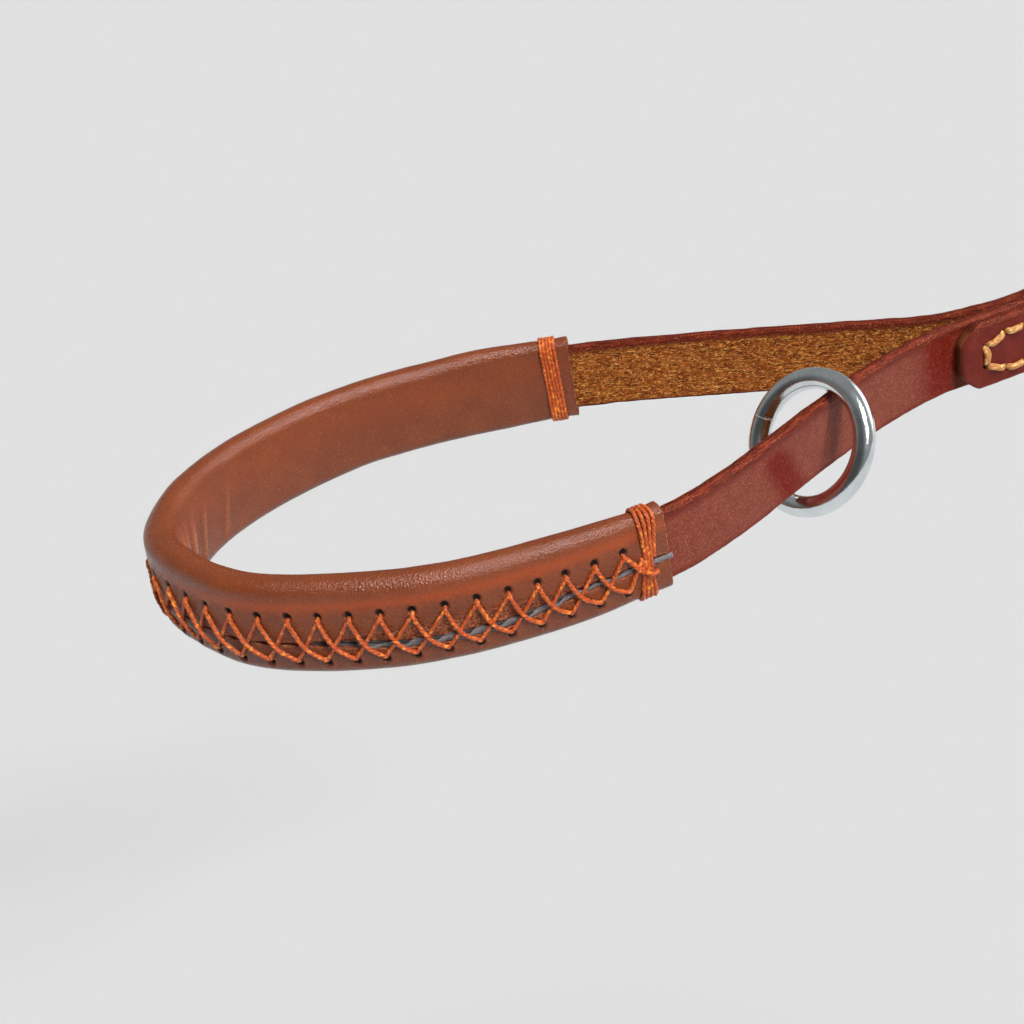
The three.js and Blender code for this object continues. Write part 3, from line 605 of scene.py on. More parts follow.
def strap_leather():
    look = Look("BridleLeather", 0.4, specular=0.14)
    mottle = look.noise(look.solid(3.4), 5, 0.66)
    fine = look.noise(look.solid(0.42), 3, 0.7)
    clumps = look.noise(look.lay(3.0, 1.1), 5, 0.66, 1.6)
    fibre = look.noise(look.lay(1.3, 0.4), 4, 0.75, 1.4)
    streak = look.noise(look.lay(4.5, 0.35), 4, 0.7)
    on_flesh, on_edge = look.attribute("flesh"), look.attribute("edge")
    edge = look.mix(look.between(streak, 0.36, 0.66), srgb(76, 18, 8), srgb(126, 46, 24))
    edge = look.mix(look.between(fine, 0.56, 0.68, 0, 0.65), edge, srgb(196, 118, 76))
    colour = look.mix(on_flesh, grain_side(look, mottle, fine), flesh_side(look, clumps, fibre))
    # The stitch holes are painted near black: painted shade inside the holes.
    colour = look.mix(look.attribute("hole"), look.mix(on_edge, colour, edge), srgb(8, 3, 2))
    look.bump(look.times(look.plus(clumps, look.times(fibre, 0.6)), on_flesh), 0.7)
    look.bump(look.times(streak, on_edge), 0.3)
    look.bump(look.plus(look.times(mottle, 0.7), look.times(fine, 0.5)), 0.1)
    rough = look.most(look.between(fine, 0.3, 0.7, 0.32, 0.48), look.times(on_flesh, 0.88))
    return look.done(colour, look.most(rough, look.times(on_edge, 0.45)))


def waxed_thread(name, dark, middle, light, ply_pitch):
    look = Look(name, 0.45, specular=0.5)
    fibres = look.noise(look.lay(ply_pitch, 0.12), 3, 0.6)
    lumps = look.noise(look.solid(1.1), 3, 0.6)
    colour = look.mix(look.between(fibres, 0.3, 0.7), dark, middle)
    colour = look.mix(look.between(lumps, 0.5, 0.7), colour, light)
    look.bump(fibres, 0.1)
    look.bump(look.noise(look.solid(0.25), 2), 0.05)
    look.shader.inputs["Sheen Weight"].default_value = 0.15
    look.shader.inputs["Sheen Roughness"].default_value = 0.4
    return look.done(colour, look.between(lumps, 0.3, 0.7, 0.34, 0.55))


def grey_felt():
    look = Look("GreyFelt", 0.95, specular=0.25)
    fibres = look.noise(look.lay(0.9, 0.2), 5, 0.75, 0.6)
    speck = look.noise(look.solid(0.35), 4, 0.8)
    colour = look.mix(look.between(fibres, 0.36, 0.64), srgb(89, 82, 85), srgb(151, 141, 141))
    colour = look.mix(look.between(speck, 0.6, 0.72), colour, srgb(62, 54, 52))
    look.bump(fibres, 0.35)
    look.bump(speck, 0.2)
    look.shader.inputs["Sheen Weight"].default_value = 0.3
    return look.done(colour)


def plated_metal(name, tone, roughness, marks):
    look = Look(name, roughness, metallic=1.0)
    broad = look.noise(look.solid(7), 3, 0.6)
    fine = look.noise(look.solid(0.6), 4, 0.7)
    pits = look.between(look.cells(look.solid(2.3)), 0.0, 0.09, 1, 0)
    duller = (*(channel * 0.86 for channel in tone[:3]), 1)
    colour = look.mix(look.between(broad, 0.35, 0.7), tone, duller)
    colour = look.mix(look.times(pits, marks), colour, srgb(120, 112, 104))
    look.bump(broad, 0.25, 0.35)
    look.bump(fine, 0.012)
    return look.done(colour, look.between(fine, 0.35, 0.7, roughness, roughness + 0.12))


# ---- strap --------------------------------------------------------------------------------
EDGE_STEPS = 6
EDGE_DEPTH = 1.1
HOLE_RADIUS = 1.05
HOLE_DEPTH = 1.1
FLESH_LAY_SHIFT = 40
HOLE_REACH = 1.2
COLUMN_STEP = 0.6
HOLE_COLUMN_STEP = 0.24
STATION_STEP = 0.8
LAP_STATION_STEP = 1.6
STITCH_STATION_STEP = 0.26
LAST_LAYER_LENGTH = 58


def strap_columns():
    """Heights across the strap's face, close together where the stitch holes are."""
    limit = STRAP_HALF_WIDTH - EDGE_DEPTH
    marks = [-limit]
    while marks[-1] < limit - 0.2:
        level = abs(marks[-1])
        near_holes = any(abs(level - z) < HOLE_REACH for z in (STITCH_ROW_Z, STITCH_END_Z))
        marks.append(marks[-1] + (HOLE_COLUMN_STEP if near_holes else COLUMN_STEP))
    marks[-1] = limit
    quarter = np.linspace(0, math.pi / 2, EDGE_STEPS, endpoint=False)
    outward = 0.2 + (STRAP_HALF_THICKNESS - 0.2) * np.sin(quarter)
    rise = limit + EDGE_DEPTH * np.cos(quarter)
    heights = np.concatenate([-rise, marks, rise[::-1]])
    reach = np.concatenate([outward, np.full(len(marks), STRAP_HALF_THICKNESS), outward[::-1]])
    return reach, heights


def strap_stations():
    """Distances along the strap, close together in the stitched lap."""
    marks = [0.0]
    far_lap_end = 2 * (LAP_END_X - TAB_START_X) + 40
    last_layer = TOTAL_LENGTH - LAST_LAYER_LENGTH
    while marks[-1] < TOTAL_LENGTH:
        here = marks[-1]
        x = np.interp(here, ROUTE_LENGTHS, ROUTE[:, 0])
        stitched = 196.5 < x < 258 and (here < 70 or here < far_lap_end)
        step = LAP_STATION_STEP if here > last_layer else STATION_STEP
        marks.append(here + (STITCH_STATION_STEP if stitched else step))
    marks[-1] = TOTAL_LENGTH
    return np.array(marks)


def stitch_holes():
    rows = [(STITCH_FIRST_X + i * STITCH_PITCH, STITCH_ROW_Z) for i in range(STITCHES_PER_ROW + 1)]
    last_x = rows[-1][0] + STITCH_PITCH / 2
    lower = [(x, -z) for x, z in reversed(rows)]
    first_x = STITCH_FIRST_X - STITCH_PITCH
    return [*rows, (last_x, STITCH_END_Z), (last_x, -STITCH_END_Z), *lower,
            (first_x, -STITCH_END_Z), (first_x, STITCH_END_Z)]


def tab_rounding(along, height):
    """How far the tab's end is set back at a height, to cut its two corners."""
    corner = np.clip((np.abs(height) - 4.0) / 5.0, 0, 1) ** 1.4 * 4.8
    return corner * np.clip(1 - along / 8.0, 0, 1)


def stitch_dents(grid, along, height):
    """How deep in a stitch hole each point lies, from 0 to 1, and the rim raised round the holes."""
    x, y = grid[..., 0], grid[..., 1]
    skin = (y < TAB_Y - 1) | ((y > FAR_LAYER_Y + 1) & (along < 190))
    holes = np.zeros(height.shape)
    rim = np.zeros(height.shape)
    for hole_x, hole_z in stitch_holes():
        away = np.hypot((x - hole_x) / 1.15, height - hole_z)
        holes = np.maximum(holes, np.where(skin, 1 - smooth_step(away, 0.7, HOLE_RADIUS), 0))
        rim += np.exp(-((np.hypot(x - hole_x, height - hole_z) - 1.3) / 0.45) ** 2)
    return holes, np.where(skin, rim, 0)


def strap_shades(side, along, height, holes):
    """Where the strap is flesh, cut edge, darkened, pierced (painted shade in the holes), rubbed by wear,
    or painted with shade beside the tab end, from 0 to 1.
    """
    ones = np.ones(height.shape)
    edge = smooth_step(np.abs(height + 0.3), 7.3, 8.2)
    if side < 0:
        edge = np.maximum(edge, smooth_step(height, 7.0, 7.6) * 0.8)
    in_lap = smooth_step(along, 86, 70) + smooth_step(along, TOTAL_LENGTH - 75, TOTAL_LENGTH - 62)
    burnished = 0.9 * smooth_step(np.abs(height + 0.5), 6.0, 8.0)
    crease_at = NEAR_END + 38.0 - 0.5 * height
    crease = np.exp(-((along - crease_at) / 4.2) ** 2) * smooth_step(height, 8.5, 2)
    # Painted shade beside the tab end, where the strap lies in the tab's shadow, mixed with real wear
    # there.
    tab_shade_and_wear = np.exp(-((along - (TOTAL_LENGTH - 73)) / 5.5) ** 2) * 0.8
    return {"flesh": ones * (side < 0), "edge": edge * ones, "hole": holes,
            "dark": np.maximum(in_lap, burnished) * ones,
            "worn": np.maximum(crease, tab_shade_and_wear) * ones * (side > 0)}


def build_strap():
    reach, heights = strap_columns()
    along = strap_stations()[:, None]
    height = np.broadcast_to(heights, (len(along), len(heights))).copy()
    shaped = along + tab_rounding(along, height)
    end_round = np.clip(1 - along / 0.8, 0, 1) ** 2 * 0.35
    on_edge = smooth_step(np.abs(height), 7.5, 8.7)
    grids, shades, lays = [], [], []
    for side in (1, -1):
        outward = side * (reach - end_round)
        grid = place(shaped, outward, height)
        facing = place(shaped, outward + side, height) - grid
        lumps = value_noise(grid, 7) * 0.07 + value_noise(grid, 2.3) * 0.03
        rough = value_noise(grid * [1, 1, 2], 0.9) * 0.07
        grid = grid + facing * (lumps * (1 - on_edge) + rough * on_edge)[..., None]
        grid[..., 2] += np.sign(height) * on_edge * value_noise(grid, 3.1) * 0.12
        holes = np.zeros(height.shape)
        if side > 0:
            holes, rim = stitch_dents(grid, along, height)
            grid = grid - facing * (holes * HOLE_DEPTH - rim * 0.1)[..., None]
        grids.append(grid)
        shades.append(strap_shades(side, along, height, holes))
        lays.append(sheet_lay(along, height + FLESH_LAY_SHIFT * (side < 0)))
    values = {key: np.concatenate([part[key].ravel() for part in shades]) for key in shades[0]}
    return slab("strap_leather", *grids, values, np.concatenate(lays))


# ---- handle cover -------------------------------------------------------------------------
GAP_MARKS = [0, 10, 18, 28, 38, 50, 60, 70, 82, 100]
UPPER_LIP = [-0.9, -1.0, -1.1, -0.5, -0.2, -0.2, -0.4, -1.6, -3.0, -3.1]
LOWER_LIP = [-2.7, -2.6, -2.5, -4.2, -5.6, -5.8, -5.7, -4.6, -3.6, -3.45]
THICK_MARKS = [0, 5.2, 13, 30, 50, 75, 100, 122, 145, 170, 200]
HALF_THICK = [2.7, 2.4, 3.0, 3.4, 3.6, 3.7, 3.8, 3.75, 3.7, 3.6, 3.4]
FAR_THICK_MARKS = [0, 4.9, 14, 30, 60]
FAR_HALF_THICK = [2.5, 2.25, 2.7, 3.1, 4.2]
UPPER_ROW_SHIFT = 0.95
LOWER_ROW_SHIFT = 1.2
LACE_HOLE_DEPTH = 0.6
LACE_HOLE_OFFSETS = (0.85, -0.6)
CREASES = [(128, 0.30, 0.9, 0.10), (131.5, 0.36, 0.7, 0.22), (134.5, 0.42, 0.8, 0.16),
           (138, 0.24, 0.6, 0.25), (143, 0.30, 0.7, 0.20), (150, 0.20, 0.6, 0.28),
           (124, 0.22, 0.8, 0.05), (120, 0.18, 0.7, -0.1), (160, 0.12, 0.7, 0.2)]


def lacing_wave(stations):
    """A wave with one crest at every lacing hole."""
    return np.cos(2 * math.pi * (stations - LACING_START) / LACING_PITCH)


def bend_at(along, start, end):
    """How tightly the strap bends, from 0 to 1 between two curvatures."""
    return smooth_step(np.interp(along, ROUTE_LENGTHS, np.abs(CURVATURE)), start, end)


def cover_shape(distance):
    """Half thickness, half height, corner radius and lip heights at a distance from the near end."""
    from_far = HANDLE_LENGTH - distance
    thick = np.interp(distance, THICK_MARKS, HALF_THICK)
    thick = np.minimum(thick, np.interp(from_far, FAR_THICK_MARKS, FAR_HALF_THICK))
    nearest = np.minimum(distance, from_far)
    tall = 10.9 + 0.7 * smooth_step(nearest, 4, 26) + 0.5 * smooth_step(nearest, 30, 75)
    tall = tall + 0.5 * smooth_step(from_far, 40, 2)
    tall = tall - 0.4 * smooth_step(distance, 115, 150) * smooth_step(from_far, 30, 60)
    pinch = np.exp(-((distance - WHIPPING_INSET) / 2.6) ** 2)
    pinch = pinch + np.exp(-((from_far - WHIPPING_INSET) / 2.9) ** 2)
    tall = tall - 0.22 * pinch
    corner = np.minimum(thick - 0.15, 3.4)
    upper = np.interp(distance, GAP_MARKS, UPPER_LIP)
    lower = np.interp(distance, GAP_MARKS, LOWER_LIP)
    return thick, tall, corner, upper, lower


def lacing_rows(distance):
    spread = smooth_step(distance, 15, 95) * smooth_step(HANDLE_LENGTH - distance, 15, 95)
    return 2.9 + 0.7 * spread, -6.7 - 0.8 * spread


COVER_SEGMENTS = [("skive", 8), ("upper", 30), ("arc", 9), ("flat", 4), ("arc", 9), ("inner", 26),
                  ("arc", 9), ("flat", 4), ("arc", 16), ("lower", 16)]


def cover_outline(thick, tall, corner, upper, lower, inset):
    """Outward and height grids of the wrapped section, one row per station."""
    thick, tall, corner, upper, lower = (
        np.asarray(v)[:, None] for v in (thick, tall, corner, upper, lower))
    face = tall - corner
    side = thick - corner
    outs, ups = [], []
    arcs_done = 0
    flats_done = 0
    for kind, count in COVER_SEGMENTS:
        share = np.linspace(0, 1, count, endpoint=kind == "lower")[None, :]
        if kind == "skive":
            edge_z = lower + np.minimum(1.5, 0.5 * (upper - lower))
            depth = 0.0 if inset else np.minimum(0.8, thick - 1.9)
            out = thick - depth * (1 - share) ** 1.3 - (0 if inset else 0.22)
            up = edge_z + (upper - edge_z) * share
        elif kind == "upper":
            out, up = thick + 0 * share, upper + (face - upper) * share
        elif kind == "lower":
            out, up = thick + 0 * share, -face + (lower + face) * share
        elif kind == "inner":
            out, up = -thick + 0 * share, face - 2 * face * share
        elif kind == "arc":
            centre_out = side * (1, -1, -1, 1)[arcs_done]
            centre_up = face * (1, 1, -1, -1)[arcs_done]
            angle = math.pi / 2 * (arcs_done + share)
            out, up = centre_out + corner * np.cos(angle), centre_up + corner * np.sin(angle)
            arcs_done += 1
        else:
            sign = (1, -1)[flats_done]
            out, up = sign * side * (1 - 2 * share), sign * tall + 0 * share
            flats_done += 1
        out, up = np.broadcast_arrays(out, up)
        crown = 0.0 if inset else 0.22 * np.clip(1 - (up / face) ** 2, 0, 1)
        if kind in ("upper", "lower", "inner"):
            out = out + np.sign(out) * crown
        outs.append(out)
        ups.append(up)
    return np.concatenate(outs, 1), np.concatenate(ups, 1)


def hole_places():
    """Distance from the near end and height of every lacing hole: upper row, lower row."""
    order = np.arange(int((HANDLE_LENGTH - 2 * LACING_START + 2) / LACING_PITCH) + 1)
    even = LACING_START + LACING_PITCH * order
    upper, lower = lacing_rows(even)
    upper_at = even - UPPER_ROW_SHIFT * smooth_step(order, 1.5, 4)
    lower_at = even - LOWER_ROW_SHIFT * smooth_step(order, 7, 12)
    return list(zip(upper_at, upper)), list(zip(lower_at, lower))


def lacing_dents(stations, out, up):
    """How deep in a lacing hole each point lies, from 0 to 1, and the rim raised round the holes."""
    holes = np.zeros(out.shape)
    rims = np.zeros(out.shape)
    for places, above in zip(hole_places(), LACE_HOLE_OFFSETS):
        for distance, height in places:
            near = np.abs(stations - distance) < 3.2
            ahead = (stations[near] - distance)[:, None]
            across = up[near] - height - above
            off_face = np.where(out[near] > 0, 0, 9)
            gap = np.hypot(np.hypot(ahead / 0.95, across / 1.15), off_face)
            holes[near] = np.maximum(holes[near], 1 - smooth_step(gap, 0.74, 1.0))
            rims[near] += 0.14 * np.exp(-((gap - 1.5) / 0.5) ** 2)
    return holes, rims


def cover_shades(along, out, up, raw, holes, painted_ridge_glint):
    """Where the cover is raw edge or pierced (painted shade in the holes), where an orange band of light
    is painted below the highlight and on the inner face at bends, and where highlight is painted on crease
    ridges, outside and inside.
    """
    # Painted light band: orange tone below the highlight on the outer face, and painted light on the inner
    # face at bends.
    painted_light_band = np.exp(-((up - 6.9) / 1.5) ** 2) * (out > 0) * 0.75
    bend = bend_at(along, 0.018, 0.045)
    painted_inner_light = (out < 0) * (0.2 + 0.8 * bend) * np.exp(-((up - 4.5) / 4.5) ** 2)
    end_rows = np.zeros(out.shape)
    end_rows[:1] = end_rows[-1:] = 1
    shades = {"raw": np.maximum(raw, end_rows), "hole": holes,
              "painted_light_band": np.maximum(painted_light_band, painted_inner_light), "painted_ridge_glint": painted_ridge_glint}
    return {key: np.concatenate([part.ravel(), np.ones(part.size) * (key == "raw")])
            for key, part in shades.items()}


def build_cover():
    stations = np.linspace(0, HANDLE_LENGTH, int(HANDLE_LENGTH / 0.34))
    thick, tall, corner, upper, lower = cover_shape(stations)
    wave = lacing_wave(stations)
    upper, lower = upper + 0.16 * wave * 0.8, lower - 0.16 * wave * 0.5
    along = (NEAR_END - stations)[:, None]
    out, up = cover_outline(thick, tall, corner, upper, lower, False)
    lip = sum(np.exp(-(np.abs(up - edge[:, None]) / 0.55)) for edge in (upper, lower))
    skive = COVER_SEGMENTS[0][1]
    columns = np.arange(out.shape[1])[None, :]
    out = out - np.where((out > 0) & (columns >= skive), 0.3 * np.clip(lip, 0, 1), 0)
    out = np.where(out < 0, out * (1 + 0.06 * bend_at(along, 0.018, 0.05)), out)
    outer = place(along, out, up)
    normals = -grid_normals(outer)
    facing = place(along, out + np.sign(out), up) - outer
    normals = normals * np.sign(np.sum(normals * facing, -1).mean())
    holes, relief = lacing_dents(stations, out, up)
    relief += value_noise(outer, 11) * 0.12 + value_noise(outer, 4.5) * 0.06
    seam_pull = np.exp(-((up + 3.0) / 3.6) ** 2) * (out > 0)
    relief -= 0.22 * seam_pull * (0.6 + 0.4 * wave)[:, None]
    creases, painted_ridge_glint = crease_relief(stations, out, up)
    raw = np.where(columns < skive, 1.0, 0.0) * np.ones(out.shape)
    raw[:, skive:skive + 3] = [0.9, 0.5, 0.15]
    raw[:, -2:] = [0.3, 0.9]
    relief += creases - holes * LACE_HOLE_DEPTH + raw * value_noise(outer, 0.8) * 0.09
    outer = outer + normals * relief[..., None]
    inner_thick = np.maximum(thick - 1.0, STRAP_HALF_THICKNESS + 0.12)
    inner_corner = np.full(len(stations), 0.5)
    inner = place(along, *cover_outline(inner_thick, tall - 0.9, inner_corner, upper, lower, True))
    steps = np.hypot(np.diff(out, axis=1, prepend=out[:, :1]), np.diff(up, axis=1, prepend=up[:, :1]))
    lay = sheet_lay(along, np.cumsum(steps, 1))
    values = cover_shades(along, out, up, raw, holes, painted_ridge_glint)
    return slab("cover_leather", outer, inner, values, np.concatenate([lay, lay + 90]))


def crease_relief(stations, out, up):
    """Folds across the inner face where the handle bends tightly, and fine wrinkles beside them. Also a
    painted highlight along each fold's ridge, returned as the second value.

    CREASES holds the distance from the near end, depth, width and slant of each fold."""
    relief = np.zeros(out.shape)
    painted_ridge_glint = np.zeros(out.shape)
    inside = (out < 0) & (np.abs(up) < 9.5)
    window = smooth_step(up, -10.5, -6) * smooth_step(-up, -7.5, 1)
    for middle, depth, narrow, slant in CREASES:
        offset = stations[:, None] - middle - (slant + 0.18) * up
        width = narrow * 1.45
        furrow = np.exp(-(offset / width) ** 2) * window
        ridge = np.exp(-((offset - 1.5 * width) / width) ** 2) * window
        relief += np.where(inside, depth * (1.1 * ridge - 2.3 * furrow), 0)
        # Painted highlight along each fold's ridge.
        painted_ridge_glint = np.maximum(painted_ridge_glint, np.where(inside, ridge ** 2 * depth / 0.42, 0))
    bend = bend_at(NEAR_END - stations, 0.02, 0.05)
    wrinkles = value_noise(np.stack([stations[:, None] + 0 * up, up / 6, 0 * up], -1), 1.3)
    return relief + np.where(inside, wrinkles * 0.13 * bend[:, None], 0), painted_ridge_glint


def build_felt():
    """The felt under the cover: a wrap round the strap and the strip that shows in the seam."""
    stations = np.linspace(0.5, HANDLE_LENGTH - 0.8, int(HANDLE_LENGTH / 0.7))
    thick, tall, _, _, lower = cover_shape(stations)
    ones = np.ones(len(stations))
    along = (NEAR_END - stations)[:, None]
    outer_thick = np.maximum(thick - 1.3, STRAP_HALF_THICKNESS + 0.1)
    skins = ((outer_thick, tall - 0.95), (ones * (STRAP_HALF_THICKNESS + 0.04), ones * 9.04))
    grids = [place(along, *cover_outline(*skin, ones * 0.3, lower + 1.3, lower + 0.2, True))
             for skin in skins]
    grids[0] = grids[0] + (value_noise(grids[0], 0.9) * 0.03)[..., None]
    lay = sheet_lay(along, np.linspace(0, 50, grids[0].shape[1])[None, :])
    wrap = slab("felt_wrap", *grids, {}, np.concatenate([lay, lay + 60]))
    return wrap, felt_strip()


def felt_strip():
    """The strip in the seam: swollen to a lens between every two crossings of the lacing."""
    sides = 20
    stations = np.arange(-0.9, 68, 0.35)
    thick, _, _, upper, lower = cover_shape(np.maximum(stations, 0))
    opening = upper - lower
    lens = np.abs(np.cos(math.pi * (stations - LACING_START + UPPER_ROW_SHIFT) / LACING_PITCH))
    lens = 0.05 + (0.62 + 0.3 * smooth_step(stations, 25, 45)) * lens
    lens = np.where(stations < LACING_START, 0.75, lens) * smooth_step(stations, 69, 60)
    half_tall = 0.42 * np.minimum(opening, 2.1) * lens + 0.05
    middle = lower + half_tall + 0.1
    swell = -0.28 * lacing_wave(stations)
    level = thick - 0.55 + swell * smooth_step(opening, 1.5, 3) + 0.3 * (stations < 4)
    level = np.where(opening < 1.2, thick - 0.95, level)
    angles = np.linspace(0, 2 * math.pi, sides, endpoint=False)[None, :]
    out = level[:, None] + 0.34 * np.sign(np.cos(angles)) * np.abs(np.cos(angles)) ** 0.6
    up = middle[:, None] + half_tall[:, None] * np.sign(np.sin(angles)) * np.abs(np.sin(angles)) ** 0.7
    grid = place((NEAR_END - stations)[:, None], out, up)
    grid = grid + (value_noise(grid, 0.7) * 0.05)[..., None]
    faces = grid_faces(len(stations), sides, closed=True)
    last = (len(stations) - 1) * sides
    faces += [tuple(reversed(range(sides))), tuple(last + k for k in range(sides))]
    lay = sheet_lay(stations[:, None], angles * 0.5)
    piece = new_object("felt_strip", grid.reshape(-1, 3), faces, lay=lay)
    face_outwards(piece)
    return piece


# ---- threads ------------------------------------------------------------------------------
def skin_level(distance, height):
    """How far the cover's outer face stands off the strap's centreline at a height."""
    thick, tall, corner, _, _ = cover_shape(np.asarray(distance, float))
    over = np.clip((np.abs(height) - (tall - corner)) / corner, 0, 0.99)
    crown = 0.2 * np.clip(1 - (height / (tall - corner)) ** 2, 0, 1)
    return thick + crown - corner * (1 - np.sqrt(1 - over ** 2))


def strand(distance, height, stand):
    """Path points on the cover: distance from the near end, height, and stand-off of the middle."""
    level = skin_level(distance, np.asarray(height, float)) + np.asarray(stand, float)
    return place(NEAR_END - np.asarray(distance, float), level, height)


OVER_SHARES = [0.0, 0.12, 0.30, 0.50, 0.75, 1.0]
OVER_DROPS = [0.0, 0.27, 0.53, 0.71, 0.86, 1.0]
OVER_STAND = [0.36, 0.5, 0.75, 0.85, 0.6, 0.36]
UNDER_STAND = [0.34, 0.28, 0.25, 0.28, 0.34, 0.34]
KNOT_STAND = [0.4, 0.5, 0.6, 0.7, 0.8, 0.5]
THREAD_TWIST = 2.6
STITCH_SHARES = [0.12, 0.17, 0.32, 0.5, 0.68, 0.83, 0.88]
STITCH_STAND = [-0.9, 0.15, 0.5, 0.55, 0.5, 0.15, -0.9]
STITCH_SWAY = [0, 0.05, 0.16, 0.2, 0.14, 0.04, 0]
STITCH_RADIUS = 0.95


def lace(start, end, stands, bowed, seed, radius=THREAD_RADIUS):
    """One strand from a hole to another, dipping into both."""
    start_d, start_z = start
    end_d, end_z = end
    shares = np.array(OVER_SHARES)
    drops = np.array(OVER_DROPS) if bowed else shares
    toward = np.sign(end_z - start_z)
    d = start_d + (end_d - start_d) * shares
    z = start_z + (end_z - start_z) * drops
    stands = np.array(stands)
    d = np.concatenate([[start_d, start_d], d[1:-1], [end_d, end_d]])
    z = np.concatenate([[start_z, start_z + toward * 0.35], z[1:-1], [end_z - toward * 0.35, end_z]])
    stand = np.concatenate([[-1.0, stands[0]], stands[1:-1], [stands[-1], -1.0]])
    path = smooth_curve(strand(d, z, stand), 10)
    return twisted(path, radius, 2, THREAD_TWIST, start=seed, step=0.36)


def build_lacing():
    upper, lower = hole_places()
    bars = []
    for i in range(1, len(upper)):
        bars += lace(upper[i], lower[i - 1], OVER_STAND, True, i * 1.3)
        bars += lace(upper[i - 1], lower[i], UNDER_STAND, False, i * 0.7, THREAD_RADIUS * 0.8)
    knot = (WHIPPING_INSET + 1.6, -3.2)
    for shift in (0.0, 0.9):
        start = (upper[0][0], upper[0][1] - shift * 0.2)
        bars += lace(start, (knot[0], knot[1] + shift), KNOT_STAND, False, shift)
    bars += lace(lower[0], (WHIPPING_INSET + 1.5, 0.4), UNDER_STAND, False, 2.2)
    far = HANDLE_LENGTH - WHIPPING_INSET - 1.5
    bars += lace(upper[-1], (far, -2.6), UNDER_STAND, False, 0.4)
    bars += lace(lower[-1], (far, -2.2), UNDER_STAND, False, 1.9)
    return gathered("cross_lacing", bars)


def round_outline(thick, tall, corner, count):
    """Evenly spaced points round the cover's section, from the middle of its outer face upwards."""
    angles = np.linspace(0, math.pi / 2, 9)
    face, side = tall - corner, thick - corner
    quarter = np.stack([side + corner * np.cos(angles), face + corner * np.sin(angles)], 1)
    half = np.vstack([quarter, (quarter * [-1, 1])[::-1]])
    whole = np.vstack([[[thick, 0]], half, [[-thick, 0]], (half * [-1, -1]), [[thick, 0]]])
    return evenly(whole, lengths_along(whole)[-1] / count)[:-1]


def wound(middle, turns, spread_at, pitch, seed, lean=0.0):
    """Thread wound round the cover, each turn's place on the outer face set by spread_at."""
    per_turn = 72
    thick, tall, corner, _, _ = (float(v) for v in cover_shape(np.array(middle)))
    stand = THREAD_RADIUS * 0.86
    outline = round_outline(thick + stand, tall + stand, corner + stand, per_turn)
    points = []
    for i in range(int(turns * per_turn) + 1):
        out, up = outline[i % per_turn]
        order = i / per_turn - turns / 2
        spread = spread_at(up) if out > 0 else 1.0
        distance = middle + order * pitch * spread - lean * (up + 2) / 12
        jitter = 0.06 * math.sin(i * 0.37 + seed)
        points.append(place(NEAR_END - distance, out + jitter, up))
    path = smooth_curve(np.array(points)[::3], 6)
    return twisted(path, THREAD_RADIUS * 0.92, 2, THREAD_TWIST, start=seed, step=0.42)


def near_fan(up):
    """The near turns are drawn together at the knot and fan out above and below it."""
    return float(np.interp(up, [-10, -7, -3.6, -1, 4, 10], [1.1, 0.95, 0.6, 0.66, 0.9, 1.25]))


def even_spread(up):
    return 1.0


def build_whippings():
    near = wound(WHIPPING_INSET, 4, near_fan, 0.98, 0.3, 0.45)
    tie = [(0.9, -3.0, 0.3), (0.7, -3.1, 1.7), (-0.4, -3.25, 1.85), (-1.3, -3.5, 1.3), (-1.6, -3.9, 0.2)]
    ahead, z, stand = (np.array(column) for column in zip(*tie))
    path = smooth_curve(strand(WHIPPING_INSET + ahead, z, stand), 10)
    near += twisted(path, THREAD_RADIUS, 2, 2.7, start=1.0, step=0.3)
    far = wound(HANDLE_LENGTH - WHIPPING_INSET, 5, even_spread, 0.86, 1.1)
    return gathered("near_whipping", near), gathered("far_whipping", far)


def build_stitches():
    """The saddle stitch on both faces of the lap: one flat three-ply strand from hole to hole."""
    holes = stitch_holes()
    far_lap = (ROUTE_LENGTHS > 70) & (ROUTE_LENGTHS < 160)
    order = np.argsort(ROUTE[far_lap, 0])
    back_x = ROUTE[far_lap, 0][order]
    back_s = ROUTE_LENGTHS[far_lap][order]
    share = np.array(STITCH_SHARES)
    stand = np.array(STITCH_STAND) + STRAP_HALF_THICKNESS
    bars = []
    for i, (x, z) in enumerate(holes):
        next_x, next_z = holes[(i + 1) % len(holes)]
        along_x = x + (next_x - x) * share
        height = z + (next_z - z) * share + np.array(STITCH_SWAY) * math.sin(i * 2.1)
        front = place(along_x - TAB_START_X, stand, height)
        back = place(np.interp(along_x, back_x, back_s), stand, height)
        for path, seed in ((front, i * 0.9), (back, i * 1.7 + 0.5)):
            bars += twisted(smooth_curve(path, 8), STITCH_RADIUS, 3, 8.5, flat=0.45,
                            first_side=(0, 1, 0.02), step=0.34, start=seed)
    return gathered("lap_stitches", bars)


# ---- metal --------------------------------------------------------------------------------
BORE_RADIUS = 2.35
BORE_SIDES = 40
WELD_AT = math.radians(8)


def lathe(steps, origin=HOOK_X, height=0.0, corner=0.0, sides=72):
    """A solid turned on the snap's line: steps are (distance from origin, radius)."""
    profile = [(origin + distance, radius) for distance, radius in steps]
    if corner:
        profile = rounded_profile(profile, corner)
    return turned(profile, (0, LAP_Y, height), sides)


